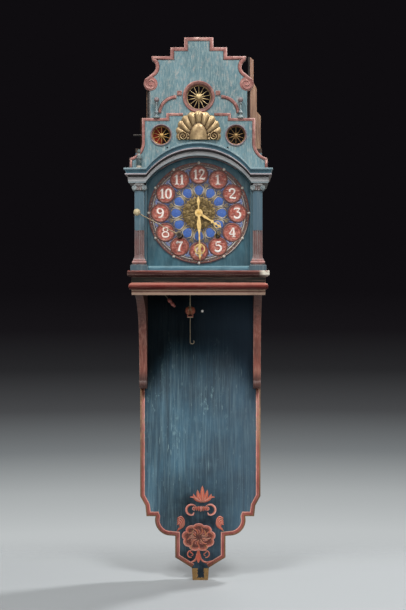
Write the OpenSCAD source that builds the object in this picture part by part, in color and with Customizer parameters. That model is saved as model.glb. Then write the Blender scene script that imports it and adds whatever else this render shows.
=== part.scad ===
// Painted wall clock with an arched hood on a bracketed tail board.
// Millimetres. X to the right, Y to the wall, Z up.
// The origin is the centre of the hanging hole, at the back face of the backboard.
// Fronts therefore lie at negative Y, and "front" below is such a Y value.

/* [Case] */
// Width over the hood sides and the backboard
case_w = 292; // [284:1:300]
// From the hanging hole down to the underside of the shelf
shelf_drop = 370; // [366:1:374]
// Depth from the wall to the front of the hood
hood_front_depth = 146; // [144:1:156]
// Thickness of the backboard
board_t = 16; // [12:1:17]
// Thickness of the hood's side boards
side_t = 10; // [8:1:12]
// Thickness of the arched front frame
frame_t = 22; // [20:1:23]
// Height of the cornice top above the shelf's underside
cornice_top = 290; // [287:1:292]
// Height of the shelf with its mouldings
shelf_h = 56; // [54:1:57]
// Thickness of the two crest boards
crest_t = 10; // [8:1:11]
// Height of the lower crest's shoulders above the crown of the arch
shoulder_rise = 58; // [55:1:62]
// Height of the upper crest's top above the lower crest's shoulders
crest_rise = 188; // [180:1:210]

/* [Tail] */
// From the underside of the shelf down to the tip
tail_len = 692; // [680:1:720]
// From the underside of the shelf down to where the tail starts to narrow
tail_shoulder = 488; // [470:1:492]
// Length of the two shelf brackets
bracket_len = 226; // [200:1:240]
// Thickness of the shelf brackets
bracket_t = 18; // [14:1:20]

/* [Arch] */
// Width of the front frame beside the window
jamb_w = 27; // [26:1:30]
// How much the radius of the window's arch exceeds the window's half width
arch_flare = 29; // [26:1:30]
// Height of the arch moulding at its crown
arch_rise = 31; // [29:1:33]
// Height of the window arch's centre above the shelf's underside
arch_centre = 170; // [168:1:172]
// How far the arch moulding stands out from the front
arch_relief = 14; // [12:1:16]

/* [Dial] */
// Radius of the painted dial plate
dial_r = 118; // [114:1:118]
// Height of the dial centre above the shelf's underside
dial_height = 190; // [189:1:191]
// Radius of each numeral cartouche
cartouche_r = 22.3; // [20:0.1:22.5]
// Radius of the ring on which the cartouches sit
cartouche_ring_r = 89.4; // [88:0.1:92]
// Radius of the embossed brass centre
boss_r = 38.8; // [34:0.1:42]
// Radius of the winding holes
winding_hole_r = 6.3; // [5.8:0.1:7]
// Length of the minute hand from its centre
minute_len = 110; // [100:1:112]
// Length of the hour hand from its centre
hour_len = 62; // [54:0.5:62.5]

/* [Movement] */
// Gap between the movement's two plates
plate_gap = 54; // [53:1:55]
// Half width of the movement plates
plate_half = 112; // [110:1:118]
// Thickness of the movement plates
plate_t = 2.5; // [2:0.1:2.8]
// Radius of the winding drums
drum_r = 20; // [18:0.5:20.5]
// Thickness of the wheels
wheel_t = 2.6; // [2:0.1:2.8]
// Radius of the arbors between the plates
arbor_r = 2.4; // [2:0.1:2.6]
// Running clearance of a pivot in its hole
run_gap = 0.06; // [0.04:0.01:0.08]
// Thickness of the winding line
line_d = 2; // [1.6:0.1:2.2]
// Length of the pendulum from its pivot to the bob's centre
pendulum_len = 168; // [150:1:170]
// Length of the crank's arm
crank_arm = 108; // [100:1:109]

/* [Bells] */
// Radius of the large bell's mouth
bell_r = 42; // [36:1:44]
// Height of the large bell
bell_h = 38; // [34:1:42]

/* [Hidden] */
$fn = 48;
skin_gap = 0.3;             // gap between curved faces of neighbouring pieces
half = case_w / 2;
shelf_z = -shelf_drop;      // underside of the shelf
hood_z = shelf_z + shelf_h; // top of the shelf, on which the hood stands
back_y = -board_t;          // front face of the backboard
front_y = -hood_front_depth;
frame_y = front_y + frame_t;
crest_y = front_y + crest_t;
cornice_z = shelf_z + cornice_top;
arch_z = shelf_z + arch_centre;
dial_z = shelf_z + dial_height;

// Backboard and brackets
board_top = shelf_z + 430;
hanging_r = 5;
tail_waist = 61;
tip_half = 18.7;
tail_step = 49;             // from the tail's shoulder down to the square step
tail_curve = 38;            // radius of the quarter curve below the step
bracket_foot = 20;
bracket_scroll = 12;

// Shelf
rail_w = 15;                // inner face of the moulded rails to the hood's face
plank_t = 20;
slot_half_w = 12;
slot_front = -100;
slot_back = -48;

// Cornice tiers, as heights below the cornice top and projections
fillet_h = 9;
band_h = 6;
frieze_h = 15;
cornice_h = fillet_h + band_h + frieze_h;
fillet_out = 24;
band_out = 19;
frieze_out = 16;
spring_z = cornice_z - cornice_h;
arch_steps = [0, 10.8, 18.4]; // drop of each arch layer below the outermost
window_half = half - jamb_w;
arch_r = window_half + arch_flare;
arch_outer_r = arch_r + 2;
arch_crown_z = arch_z + arch_r + arch_rise;
arch_top_z = arch_crown_z - arch_outer_r; // centre of the outermost layer's circle
arch_end = window_half + 2;   // half width at which the arch meets the cornice ends

// Pilasters
pilaster_x = half - 10.3;
shaft_half = 11;
shaft_out = 6;
abacus_half = 16;
scroll_r = 5.6;
capital_h = 15;
abacus_h = 6;
capital_z = spring_z - abacus_h - capital_h;
plinth_half = 20;
plinth_h = 12;
base_h = 31;
flute_r = 1.7;
flute_top = 148;

// Window sill and dial
sill_z = shelf_z + 67;
sill_out = 6;
dial_board_t = 8;
dial_back_y = frame_y + dial_board_t;
dial_plate_t = 2;
dial_y = frame_y - dial_plate_t;
dial_board_half = half - side_t - 3;
dial_board_top = arch_z + arch_r + 4;
roof_z = dial_board_top + 6;
roof_t = 10;
roof_top = roof_z + roof_t;
cartouche_t = 1.8;
boss_t = 2.5;
dial_hole_r = 5.4;
cartouches = 12;

// Winding arbors and wheels, seen from the front about the dial centre
wind_x = 43.5;
wind_drop = 53.2;
wind_z = dial_z - wind_drop;
wind_reach = sqrt(wind_x * wind_x + wind_drop * wind_drop);
great_teeth = 60;
centre_leaves = 10;
great_m = 2 * wind_reach / (great_teeth + centre_leaves);
centre_teeth = 80;
third_leaves = 8;
centre_m = 1;
third_reach = centre_m * (centre_teeth + third_leaves) / 2;
third_angle = 126.2;
third_x = third_reach * cos(third_angle);
third_z = dial_z + third_reach * sin(third_angle);
third_teeth = 96;
escape_leaves = 8;
third_m = 0.8;
escape_reach = third_m * (third_teeth + escape_leaves) / 2;
escape_x = 0;
escape_z = third_z + sqrt(escape_reach * escape_reach - third_x * third_x);
escape_teeth = 30;
escape_r = 17;
pallet_z = escape_z + 26;
pin_leaves = 10;
pin_reach = great_m * (great_teeth + pin_leaves) / 2;
pin_angle = 114.5;
pin_x = -wind_x + pin_reach * cos(pin_angle);
pin_z = wind_z + pin_reach * sin(pin_angle);
pin_teeth = 64;
fly_leaves = 8;
fly_m = 0.8;
fly_reach = fly_m * (pin_teeth + fly_leaves) / 2;
fly_angle = 102;
fly_x = pin_x + fly_reach * cos(fly_angle);
fly_z = pin_z + fly_reach * sin(fly_angle);
motion_m = 1;
cannon_leaves = 10;
minute_teeth = 30;
minute_leaves = 8;
hour_teeth = 32;
motion_reach = motion_m * (cannon_leaves + minute_teeth) / 2;
motion_angle = 160;
motion_x = motion_reach * cos(motion_angle);
motion_z = dial_z + motion_reach * sin(motion_angle);

// Depths inside the movement
back_plate_y = back_y - 23;
plate_in_y = back_plate_y - plate_t;
front_plate_y = plate_in_y - plate_gap;
plate_front_y = front_plate_y - plate_t;
plate_below = 116;          // from the dial centre down to the movement plates' lower edge
plate_above = 107;          // and up to their upper edge
plate_bottom = dial_z - plate_below;
plate_top = dial_z + plate_above;
foot_x = plate_half - 24;
foot_z = 76;
pillar_r = 4;
pillar_x = plate_half - 8;
pivot_r = 1.6;
hand_arbor_r = 3;
barrel_arbor_r = 4;
stud_r = 1.6;
rim_w = 2.6;
spoke_w = 4;
pillar_heights = [plate_bottom + 14, plate_top - 14];
pallet_clear = 1.7;
pendulum_y = back_plate_y + 14;
pendulum_hub = 8;
going_great_y = plate_in_y - 4;
strike_great_y = going_great_y - 7;
pin_wheel_y = strike_great_y - 8;
escape_y = going_great_y - 16;
third_y = going_great_y - 26;
centre_y = third_y - 10;
drum_back_y = strike_great_y - wheel_t - 3;
drum_front_y = front_plate_y + 4;
cannon_y = plate_front_y - 1;
hour_wheel_y = cannon_y - 6;
pipe_r = 4.6;
seat_t = 8;
seat_z = plate_bottom - seat_t;

// Hands, from the dial outward
hand_t = 1.5;
hour_y = dial_y - boss_t - 2.5;
minute_y = hour_y - hand_t - 2.5;
nut_y = minute_y - hand_t;
minute_angle = 178.4;
hour_angle = 123;

// Winding crank
crank_y = front_y - 22;
crank_rod = 2.4;
crank_angle = 152;
crank_pipe_r = 4.8;
square_side = 5.2;
knob_r = 8;
knob_x = -wind_x + crank_arm * cos(crank_angle);
knob_z = wind_z + crank_arm * sin(crank_angle);

// Pulley and its hook under the shelf
line_r = line_d / 2;
line_x = -wind_x + drum_r + line_r + skin_gap;
sheave_r = 7.2;
sheave_w = 9;
pulley_y = -74;
pulley_z = shelf_z - 37;
strand_r = sheave_r + line_r + skin_gap;
cheek_t = 2;
cheek_gap = sheave_w + 1.2;
pin_r = 1.8;
hook_wire = 1.2;
hook_r = 4.6;
hook_z = shelf_z - 116;
strand_a_y = pulley_y - strand_r;
strand_b_y = pulley_y + strand_r;
cord_r = 1;
toggle_x = 64 - half;
toggle_lean = 40;

// Crest openings and ornaments
shoulder_z = arch_crown_z + shoulder_rise;
crest_z = shoulder_z + crest_rise;
step_h = 11.6;
shell_half = 49;
crest_half = half - 34;
neck_half = crest_half - 2.7;
stair_half = 65.3;
top_half = 33.5;
big_hole_r = 28;
big_ring_r = 37;
big_hole_z = shoulder_z + step_h + big_ring_r + 2.4;
small_hole_r = 21;
small_hole_x = shell_half + 37;
small_hole_z = arch_crown_z + 19;
small_ring_r = 25.5;
ring_out = 3;
volute_x = crest_half - 1.4;
volute_z = crest_z - 107;
volute_r = 16.6;
shell_z = arch_crown_z + 7;
shell_h = 68;
shell_ribs = 11;
shoulder_half = half - 15.8;
step_half = 74.3;
crest_foot_half = half + 13.4;

// Bells in the box behind the crests
bell_y = (back_y + crest_y) / 2;
bell_z = roof_top + 14;
small_bell_r = bell_r * 0.75;
small_bell_h = bell_h * 0.78;
small_bell_z = bell_z + bell_h + 14;
stand_r = 3;
bell_wall = 2.2;
crown_r = 8;
hammer_x = 66;
hammer_z = roof_top + 9;
hammer_pin_r = 1.8;
head_len = 12;
side_board_t = 5;
side_board_h = 162;
bell_depth = back_y - crest_y - crest_t;
splay = 15;

// A flat board: a front elevation given thickness, from its back face forward
module board(back, t) translate([0, back, 0]) rotate([90, 0, 0]) linear_extrude(t) children();

// A side elevation drawn in Y and Z, given thickness along X
module along_x(from, to) translate([from, 0, 0]) rotate([90, 0, 90]) linear_extrude(to - from) children();

// A round rod along Y at x, z
module rod(x, z, back, front, r) translate([x, back, z]) rotate([90, 0, 0]) cylinder(r = r, h = back - front);

module box(low, high) translate(low) cube(high - low);

module both_sides() {
    children();
    mirror([1, 0, 0]) children();
}

// Points of an arc
function arc(cx, cy, r, from, to, steps) =
    [for (i = [0:steps]) let (a = from + (to - from) * i / steps) [cx + r * cos(a), cy + r * sin(a)]];

function reversed(list) = [for (i = [len(list) - 1:-1:0]) list[i]];

function mirrored(list) = [for (p = list) [-p[0], p[1]]];

// Gear outline with n straight-flanked teeth; the first tooth points along phase
function gear_points(n, m, phase, root, tip, add, ded) =
    let (pitch = m * n / 2, step = 360 / n)
    [for (i = [0:n - 1], k = [[-root, -ded], [-tip, add], [tip, add], [root, -ded]])
        let (a = phase + step * (i + k[0] / 2), r = pitch + m * k[1]) [r * cos(a), r * sin(a)]];

module wheel_shape(n, m, phase) polygon(gear_points(n, m, phase, 0.42, 0.2, 0.85, 1.15));

// A pinion's leaf is thinner than a wheel's tooth, so the pair always has play
module pinion_shape(n, m, phase) polygon(gear_points(n, m, phase, 0.34, 0.16, 0.8, 1.2));

// A wheel with its rim, its hub and its crossings, or spokes
module crossed_wheel(n, m, phase, spokes, hub_r) {
    rim_r = m * n / 2 - 1.15 * m - rim_w;
    difference() {
        wheel_shape(n, m, phase);
        circle(r = rim_r);
    }
    difference() {
        union() {
            circle(r = hub_r + 3);
            for (i = [0:spokes - 1]) rotate(phase + 360 * i / spokes) translate([0, -spoke_w / 2])
                square([rim_r + 0.5, spoke_w]);
        }
        circle(r = hub_r);
    }
}

// Puts a front elevation at x, z and gives it thickness forward from its back face
module plate_at(x, z, back, t) board(back, t) translate([x, z]) children();

// An arbor with a thinner pivot at each end, running in the two plates
module arbor(x, z) {
    rod(x, z, plate_in_y - skin_gap, front_plate_y + skin_gap, arbor_r);
    rod(x, z, back_plate_y, plate_front_y, pivot_r);
}

// The space behind the hood's front and between its sides
module hood_core(top) box([-half, front_y, shelf_z - 1], [half, 1, top]);

// A block with one moulded profile on its front and on both its sides, mitred at the corners.
// The profile lists [projection, height] from the bottom up.
module moulded_block(profile, x_half, back, face) {
    low = profile[0][1];
    high = profile[len(profile) - 1][1];
    reach = back - face + 40;
    side = [for (p = profile) [x_half + p[0], p[1]]];
    intersection() {
        board(back, reach) polygon(concat(side, reversed(mirrored(side))));
        along_x(-x_half - 40, x_half + 40) polygon(concat([[back, high], [back, low]],
            [for (p = profile) [face - p[0], p[1]]]));
    }
}

// Backboard with its shaped tail: the right-hand edge is drawn and mirrored
module backboard_outline() {
    s = shelf_z - tail_shoulder;
    tip = shelf_z - tail_len;
    right = concat([[half, board_top], [half, s],
            [half - 12.5, s - 23], [half - 15.3, s - tail_step], [tail_waist + 48.2, s - tail_step]],
        arc(tail_waist + 11, s - tail_step - 9, tail_curve, 13, -90, 8),
        [[tail_waist, s - tail_step - tail_curve - 10], [tail_waist, tip + 55], [tip_half + 2, tip + 30],
            [tip_half, tip]]);
    polygon(concat(right, reversed(mirrored(right))));
}

module backboard() color("#42606f") difference() {
    board(0, board_t) backboard_outline();
    rod(0, 0, 1, -board_t - 1, hanging_r);
}

// Concave console under the shelf. Its depth falls off down the board to a small scroll.
module bracket() {
    reach = back_y - front_y;
    run = bracket_len - bracket_scroll;
    along_x(half - bracket_t, half) {
        polygon(concat([[back_y, shelf_z - run], [back_y, shelf_z]],
            [for (i = [0:18]) let (u = run * i / 18)
                [back_y - bracket_foot - (reach - bracket_foot) * exp(-u / 45), shelf_z - u]]));
        translate([back_y - bracket_scroll, shelf_z - run]) circle(r = bracket_scroll);
    }
}

module bracket_left() color("#7d4a45") mirror([1, 0, 0]) bracket();

module bracket_right() color("#7d4a45") bracket();

// Shelf: a moulded frame on three sides, with a plank let into it
module shelf_moulding() color("#8a3f35") difference() {
    moulded_block(concat([[7.2, shelf_z], [7.2, shelf_z + 12]], arc(6, shelf_z + 20, 8, -80, 80, 10),
            [[7.6, shelf_z + 28.5], [7.6, shelf_z + 41], [13.5, shelf_z + 43],
            [16.6, hood_z - 10], [16.6, hood_z - 2], [15, hood_z]]),
        half, back_y, front_y);
    box([-half + rail_w, front_y + rail_w, shelf_z - 1], [half - rail_w, 1, hood_z + 1]);
}

module line_slots(low, high, back) both_sides()
    box([-line_x - slot_half_w, slot_front, low], [-line_x + slot_half_w, back, high]);

module shelf_board() color("#6b4a33") difference() {
    box([-half + rail_w, front_y + rail_w, hood_z - plank_t], [half - rail_w, back_y, hood_z]);
    line_slots(hood_z - plank_t - 1, hood_z + 1, slot_back);
    toggle_axis() cylinder(r = cord_r + skin_gap, h = 200, center = true);
}

// Hood
module hood_side() box([half - side_t, frame_y, hood_z], [half, back_y, roof_z]);

module hood_side_left() color("#3f6478") mirror([1, 0, 0]) hood_side();

module hood_side_right() color("#3f6478") hood_side();

// The front frame is rebated above the cornice for the lower crest, and behind for the dial's edge
module hood_front() color("#3f6478") difference() {
    union() {
        board(frame_y, frame_t) translate([-half, hood_z]) square([case_w, cornice_z - hood_z]);
        board(frame_y, frame_t - crest_t) translate([-half, hood_z]) square([case_w, roof_z - hood_z]);
    }
    board(frame_y + 1, frame_t + 2) window_outline();
    board(frame_y + 1, dial_plate_t + 1 + skin_gap) translate([0, dial_z]) circle(r = dial_r + skin_gap, $fn = 96);
}

module hood_roof() color("#6b4a33") box([-half, crest_y, roof_z], [half, back_y, roof_top]);

// The window is a rectangle below its arch
module window_outline() intersection() {
    translate([-window_half, sill_z]) square([2 * window_half, arch_z + arch_r - sill_z + 1]);
    union() {
        translate([0, arch_z]) circle(r = arch_r, $fn = 96);
        translate([-arch_r, sill_z]) square([2 * arch_r, arch_z - sill_z]);
    }
}

module window_sill() color("#5c8193") along_x(-pilaster_x + plinth_half, pilaster_x - plinth_half)
    polygon([[front_y, hood_z], [front_y - sill_out, hood_z], [front_y - sill_out, sill_z - 5],
        [front_y - 1.5, sill_z], [front_y, sill_z]]);

// Cornice: the straight ends and the arch between them
cornice_profile = [[frieze_out - 1.5, spring_z], [frieze_out, spring_z + 2],
    [frieze_out, spring_z + frieze_h - 2], [frieze_out + 1.2, spring_z + frieze_h - 0.6],
    [band_out, spring_z + frieze_h], [band_out, cornice_z - fillet_h - 0.8],
    [fillet_out - 2.6, cornice_z - fillet_h], [fillet_out, cornice_z - fillet_h + 3],
    [fillet_out, cornice_z - 1], [fillet_out - 1, cornice_z]];

module cornice_end() intersection() {
    difference() {
        moulded_block(cornice_profile, half, back_y, front_y);
        hood_core(cornice_z + 1);
    }
    box([arch_end, front_y - 60, spring_z - 1], [half + 60, 1, cornice_z + 1]);
}

module cornice_left() color("#49697a") mirror([1, 0, 0]) cornice_end();

module cornice_right() color("#49697a") cornice_end();

// Each layer of the arch stands lower and less far out than the one above it
module arch_moulding() color("#49697a")
    for (k = [0:2]) board(front_y, arch_relief + [8, 3, 0][k]) intersection() {
        difference() {
            translate([0, arch_top_z - arch_steps[k]]) circle(r = arch_outer_r, $fn = 96);
            if (k < 2) translate([0, arch_top_z - arch_steps[k + 1]]) circle(r = arch_outer_r, $fn = 96);
            window_outline();
        }
        translate([-arch_end, spring_z]) square([2 * arch_end, arch_outer_r]);
    }

// Pilaster: plinth, torus base, and a shaft fluted in its lower part
module pilaster() difference() {
    translate([pilaster_x, 0, 0]) moulded_block(concat(
            [[plinth_half - shaft_half, hood_z], [plinth_half - shaft_half, hood_z + plinth_h],
                [6, hood_z + plinth_h + 1], [6, hood_z + plinth_h + 3]],
            arc(1.5, hood_z + 19, 4, -80, 80, 8),
            [[3, hood_z + 23.6], [3, hood_z + 25], [0.8, hood_z + 29], [0, hood_z + base_h + 3], [0, capital_z]]),
        shaft_half, frame_y, front_y - shaft_out);
    hood_core(capital_z + 1);
    for (i = [-1.5:1.5]) translate([pilaster_x + i * 4.9, front_y - shaft_out, hood_z + base_h + 5])
        cylinder(r = flute_r, h = shelf_z + flute_top - hood_z - base_h - 5, $fn = 16);
}

module pilaster_left() color("#7d4a45") mirror([1, 0, 0]) pilaster();

module pilaster_right() color("#7d4a45") pilaster();

// Capital: a scroll at each corner of the front and of the side, under a moulded abacus
module capital() difference() {
    union() {
        translate([pilaster_x, 0, 0]) moulded_block([[1.5, capital_z], [1.5, capital_z + 2.5],
                [0, capital_z + 3.5], [1, capital_z + capital_h]], shaft_half, frame_y, front_y - shaft_out);
        translate([pilaster_x, 0, 0]) moulded_block([[2.5, capital_z + capital_h],
                [abacus_half - shaft_half, capital_z + capital_h + 1.5],
                [abacus_half - shaft_half, spring_z]], shaft_half, frame_y, front_y - shaft_out);
        for (s = [-1, 1]) rod(pilaster_x + s * (abacus_half - scroll_r), capital_z + capital_h - scroll_r + 1,
            front_y, front_y - shaft_out - 4, scroll_r);
        translate([pilaster_x, front_y - shaft_out, capital_z + capital_h - scroll_r + 1]) rotate([0, 90, 0])
            cylinder(r = scroll_r - 1, h = abacus_half - 0.5);
        translate([pilaster_x, frame_y - scroll_r, capital_z + capital_h - scroll_r + 1]) rotate([0, 90, 0])
            cylinder(r = scroll_r, h = abacus_half - 0.5);
    }
    hood_core(cornice_z);
    box([0, frame_y, capital_z - 1], [half + 60, 1, spring_z + 1]);
}

module capitals() color("#8a9aa0") both_sides() capital();

// Lower crest: stands on the cornice, cut out for the arch and for two round openings
module lower_crest() color("#6f929c") difference() {
    board(crest_y, crest_t) {
        difference() {
            translate([-crest_foot_half, cornice_z]) square([2 * crest_foot_half, 60]);
            both_sides() translate([crest_foot_half + 6.8, cornice_z + 60]) circle(r = 36);
        }
        translate([-shoulder_half, cornice_z]) square([2 * shoulder_half, shoulder_z - cornice_z]);
        translate([-step_half, cornice_z]) square([2 * step_half, shoulder_z + step_h - cornice_z]);
    }
    board(0, -front_y + 1) window_outline();
    both_sides() rod(small_hole_x, small_hole_z, 0, front_y - 1, small_hole_r);
    for (x = [-72, 67]) rod(x, small_hole_z - 29, 0, front_y - 1, 2);
}

// Upper crest: stepped top, waisted neck and a scroll on each side. Its right-hand edge is drawn
// from the foot up and mirrored.
module upper_crest() color("#6f929c") difference() {
    right = concat([[crest_half, roof_top], [crest_half, volute_z - 16]],
        arc(volute_x, volute_z, volute_r, -80, 50, 12),
        [[volute_x + 3.5, volute_z + 18.5]],
        arc(volute_x + 6, volute_z + 39, 17.5, 234, 120, 12),
        [[neck_half, volute_z + 61], [neck_half, crest_z - 43.5], [stair_half, crest_z - 43.5],
            [stair_half, crest_z - 23], [top_half, crest_z - 23], [top_half, crest_z]]);
    board(crest_y + crest_t, crest_t) polygon(concat(right, reversed(mirrored(right))));
    rod(0, big_hole_z, 0, front_y, big_hole_r);
}

// Raised rings and bands planted on the two crests
module crest_mouldings() color("#b5776f") {
    difference() {
        union() {
            rod(0, big_hole_z, crest_y, crest_y - ring_out, big_ring_r);
            both_sides() box([39, crest_y - ring_out, big_hole_z + 3], [50, crest_y, big_hole_z + 13.5]);
        }
        rod(0, big_hole_z, crest_y + 1, front_y, big_hole_r);
    }
    both_sides() difference() {
        rod(small_hole_x, small_hole_z, front_y, front_y - ring_out, small_ring_r);
        rod(small_hole_x, small_hole_z, front_y + 1, front_y - ring_out - 1, small_hole_r);
    }
    both_sides() board(crest_y, ring_out) translate([51.8, shoulder_z + step_h]) {
        intersection() {
            difference() {
                circle(r = 43);
                circle(r = 35);
            }
            square(50);
        }
    }
    both_sides() rod(volute_x, volute_z, crest_y, crest_y - ring_out, volute_r * 0.42);
}

// Pierced sun: a boss and thin rays inside a narrow rim
module sun(x, z, face, r, hub, rays) {
    plate_at(x, z, face, 1.6) difference() {
        circle(r = r - 0.05);
        circle(r = r - 2);
    }
    for (i = [0:rays - 1]) plate_at(x, z, face, 1.6) rotate(90 + 360 * i / rays)
        polygon([[hub - 1, -1.5], [r - 1, -0.7], [r - 1, 0.7], [hub - 1, 1.5]]);
    rod(x, z, face, face - 3, hub);
    rod(x, z, face - 3, face - 4.4, hub * 0.6);
}

module sun_rosettes() color("#c8a867") {
    sun(0, big_hole_z, crest_y + crest_t - 1, big_hole_r, 9.5, 14);
    for (s = [-1, 1]) sun(s * small_hole_x, small_hole_z, crest_y - 1, small_hole_r, 5, 10);
}

// Scallop shell: one relief by formula, a smooth dome with ribs fanned round it.
// a is the angle round the fan and t runs from its root to its edge.
function shell_edge(a) = (shell_half + (shell_h - shell_half) * sin(a)) * (0.955 + 0.045 * abs(sin(shell_ribs * a)));

function shell_relief(a, t) = let (x = shell_edge(a) * t * cos(a), z = shell_edge(a) * t * sin(a))
    1.5 + (t < 0.32 ? 9 * sqrt(1 - pow(t / 0.32, 2)) : 0)
    + (t > 0.24 ? (3 + 3.4 * abs(sin(shell_ribs * a))) * pow(sin(180 * (t - 0.24) / 0.76), 0.7) : 0)
    + 5 * exp(-(pow(abs(x) - shell_half + 9, 2) + pow(z - 5, 2)) / 45);

module shell_ornament() color("#c9b27a") {
    na = shell_ribs * 6;
    nt = 9;
    at = function(i, j, h) let (a = 180 * i / na, t = (j + 1) / nt)
        [shell_edge(a) * t * cos(a), shell_edge(a) * t * sin(a), h * shell_relief(a, t)];
    top = function(i, j) 2 + i * nt + j;
    low = function(i, j) 2 + (na + 1 + i) * nt + j;
    quad = function(p, q, r, s) [[p, q, r], [p, r, s]];
    translate([0, front_y, shell_z]) rotate([90, 0, 0]) polyhedron(
        concat([[0, 0, shell_relief(90, 0)], [0, 0, 0]], [for (h = [1, 0], i = [0:na], j = [0:nt - 1]) at(i, j, h)]),
        concat([for (i = [0:na - 1]) [0, top(i + 1, 0), top(i, 0)]], [for (i = [0:na - 1]) [1, low(i, 0), low(i + 1, 0)]],
            [for (i = [0:na - 1], j = [0:nt - 2], f = quad(top(i, j), top(i + 1, j), top(i + 1, j + 1), top(i, j + 1))) f],
            [for (i = [0:na - 1], j = [0:nt - 2], f = quad(low(i, j), low(i, j + 1), low(i + 1, j + 1), low(i + 1, j))) f],
            [for (i = [0:na - 1], f = quad(top(i, nt - 1), top(i + 1, nt - 1), low(i + 1, nt - 1), low(i, nt - 1))) f],
            [for (j = [0:nt - 2], f = quad(top(0, j), top(0, j + 1), low(0, j + 1), low(0, j))) f],
            [for (j = [0:nt - 2], f = quad(top(na, j + 1), top(na, j), low(na, j), low(na, j + 1))) f],
            quad(0, top(0, 0), low(0, 0), 1), quad(top(na, 0), 0, 1, low(na, 0))));
}

// Turned finials: two on the crest's shoulders and the tower that is left on one end
module turned(profile) rotate_extrude($fn = 32) polygon(concat([[0, 0]], profile, [[0, profile[len(profile) - 1][1]]]));

module crest_finial() turned(concat([[8, 0], [8, 2.5], [5.5, 4.5], [3.2, 6.5]], arc(1.5, 13, 3.4, -60, 60, 6),
    [[2, 20], [1.8, 31], [3.6, 34], [2, 36]], arc(0, 42.5, 6, -70, 90, 8)));

module tower_finial() turned([[6.8, 0], [6.8, 3], [5.6, 4], [5.6, 20], [6.8, 21.5], [6.8, 23.5], [4.6, 25],
    [4.4, 30], [2, 33], [1.8, 35], [3.6, 37], [3.6, 41], [0.8, 43.5]]);

module finials() color("#5d7f8f") {
    both_sides() translate([crest_half - 15.4, front_y + 1.5, shoulder_z]) crest_finial();
    translate([-half + 10, front_y - 10, cornice_z]) tower_finial();
}

// Boards at the sides of the bell space. The right one has sprung outward at its back edge.
module bell_side(depths) {
    front = crest_y + crest_t;
    along_x(0, side_board_t) polygon([[front, roof_top], [front + depths[0], roof_top],
        [front + depths[0], roof_top + 95], [front + depths[1], roof_top + 99],
        [front + depths[1], roof_top + 152], [front + depths[2], roof_top + side_board_h],
        [front + depths[2], crest_z - 43], [front, crest_z - 43]]);
}

module bell_side_left() color("#6b4a33") translate([-crest_half - 9, 0, 0]) intersection() {
    bell_side([bell_depth, 65, 33]);
    box([-1, front_y, roof_top], [side_board_t + 1, 0, roof_top + side_board_h]);
}

module bell_side_right() color("#7a5a3c") translate([crest_half + 2, crest_y + crest_t + 1.4, 0])
    rotate(-splay) translate([0, -crest_y - crest_t, 0]) bell_side([bell_depth - 4, 65, 33]);

// Iron nails: a long one left in the edge of the upper crest, a short one in the backboard
module nails() color("#8f9296") {
    translate([-crest_half, crest_y + crest_t / 2, 0]) rotate([0, -90, 0]) cylinder(r = 1.75, h = 39);
    rod(5, shelf_z - 39, back_y, back_y - 7, 1.2);
    rod(5, shelf_z - 39, back_y - 7, back_y - 9, 3);
}

// Dial: a panel behind the window, a round plate on it, and raised cartouches
module winding_holes() for (s = [-1, 1]) translate([s * wind_x, wind_z]) circle(r = winding_hole_r);

module dial_board() color("#3f6478") board(dial_back_y, dial_board_t) difference() {
    translate([-dial_board_half, hood_z]) square([2 * dial_board_half, dial_board_top - hood_z]);
    translate([0, dial_z]) circle(r = dial_hole_r);
    winding_holes();
}

module dial_plate() color("#2f4a8a") board(frame_y, dial_plate_t) difference() {
    translate([0, dial_z]) circle(r = dial_r, $fn = 96);
    translate([0, dial_z]) circle(r = dial_hole_r);
    winding_holes();
}

module numeral_cartouches() color("#a0483c") difference() {
    for (i = [0:cartouches - 1]) translate([0, dial_y, dial_z]) rotate([90, 0, 0])
        rotate(360 * i / cartouches) translate([cartouche_ring_r, 0, 0])
            rotate_extrude() polygon([[0, 0], [cartouche_r, 0], [cartouche_r, 0.6], [cartouche_r - 1.8, cartouche_t],
                [cartouche_r - 3.6, cartouche_t], [cartouche_r - 4.4, cartouche_t - 0.6], [0, cartouche_t - 0.4]]);
    board(frame_y, 10) winding_holes();
}

// Embossed brass centre with a petalled edge
module dial_centre() color("#b8973f") difference() {
    union() {
        plate_at(0, dial_z, dial_y, 1.2) {
            circle(r = boss_r - 3);
            for (i = [0:23]) rotate(15 * i) translate([boss_r - 4, 0]) circle(r = 4, $fn = 16);
        }
        rod(0, dial_z, dial_y - 1.2, dial_y - 1.9, boss_r * 0.72);
        for (i = [0:11]) translate([0, dial_y - 1.2, dial_z]) rotate([90, 30 * i, 0])
            translate([boss_r * 0.8, 0, 0]) cylinder(r1 = 3.6, r2 = 1.8, h = 1.1, $fn = 20);
        rod(0, dial_z, dial_y - 1.9, dial_y - boss_t, boss_r * 0.36);
    }
    rod(0, dial_z, 0, front_y, dial_hole_r);
}

module dial_feet() color("#b8973f")
    both_sides() for (s = [-1, 1]) rod(foot_x, dial_z + s * foot_z, plate_front_y, dial_back_y, 3);

// Movement frame
module seat_board() color("#6b4a33") difference() {
    box([-half + side_t, dial_back_y + skin_gap, seat_z], [half - side_t, back_y, plate_bottom]);
    line_slots(seat_z - 1, plate_bottom + 1, strand_b_y - 6);
}

module plate_outline() difference() {
    translate([-plate_half, plate_bottom]) square([2 * plate_half, plate_top - plate_bottom]);
    for (p = [[third_x, third_z], [escape_x, escape_z], [escape_x, pallet_z], [pin_x, pin_z], [fly_x, fly_z]])
        translate(p) circle(r = pivot_r + run_gap, $fn = 24);
}

module front_plate() color("#c9a85c") {
    board(front_plate_y, plate_t) difference() {
        plate_outline();
        translate([0, dial_z]) circle(r = arbor_r + run_gap);
        for (s = [-1, 1]) translate([s * wind_x, wind_z]) circle(r = barrel_arbor_r + run_gap);
    }
    rod(motion_x, motion_z, plate_front_y, hour_wheel_y - 4, stud_r);
}

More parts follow.
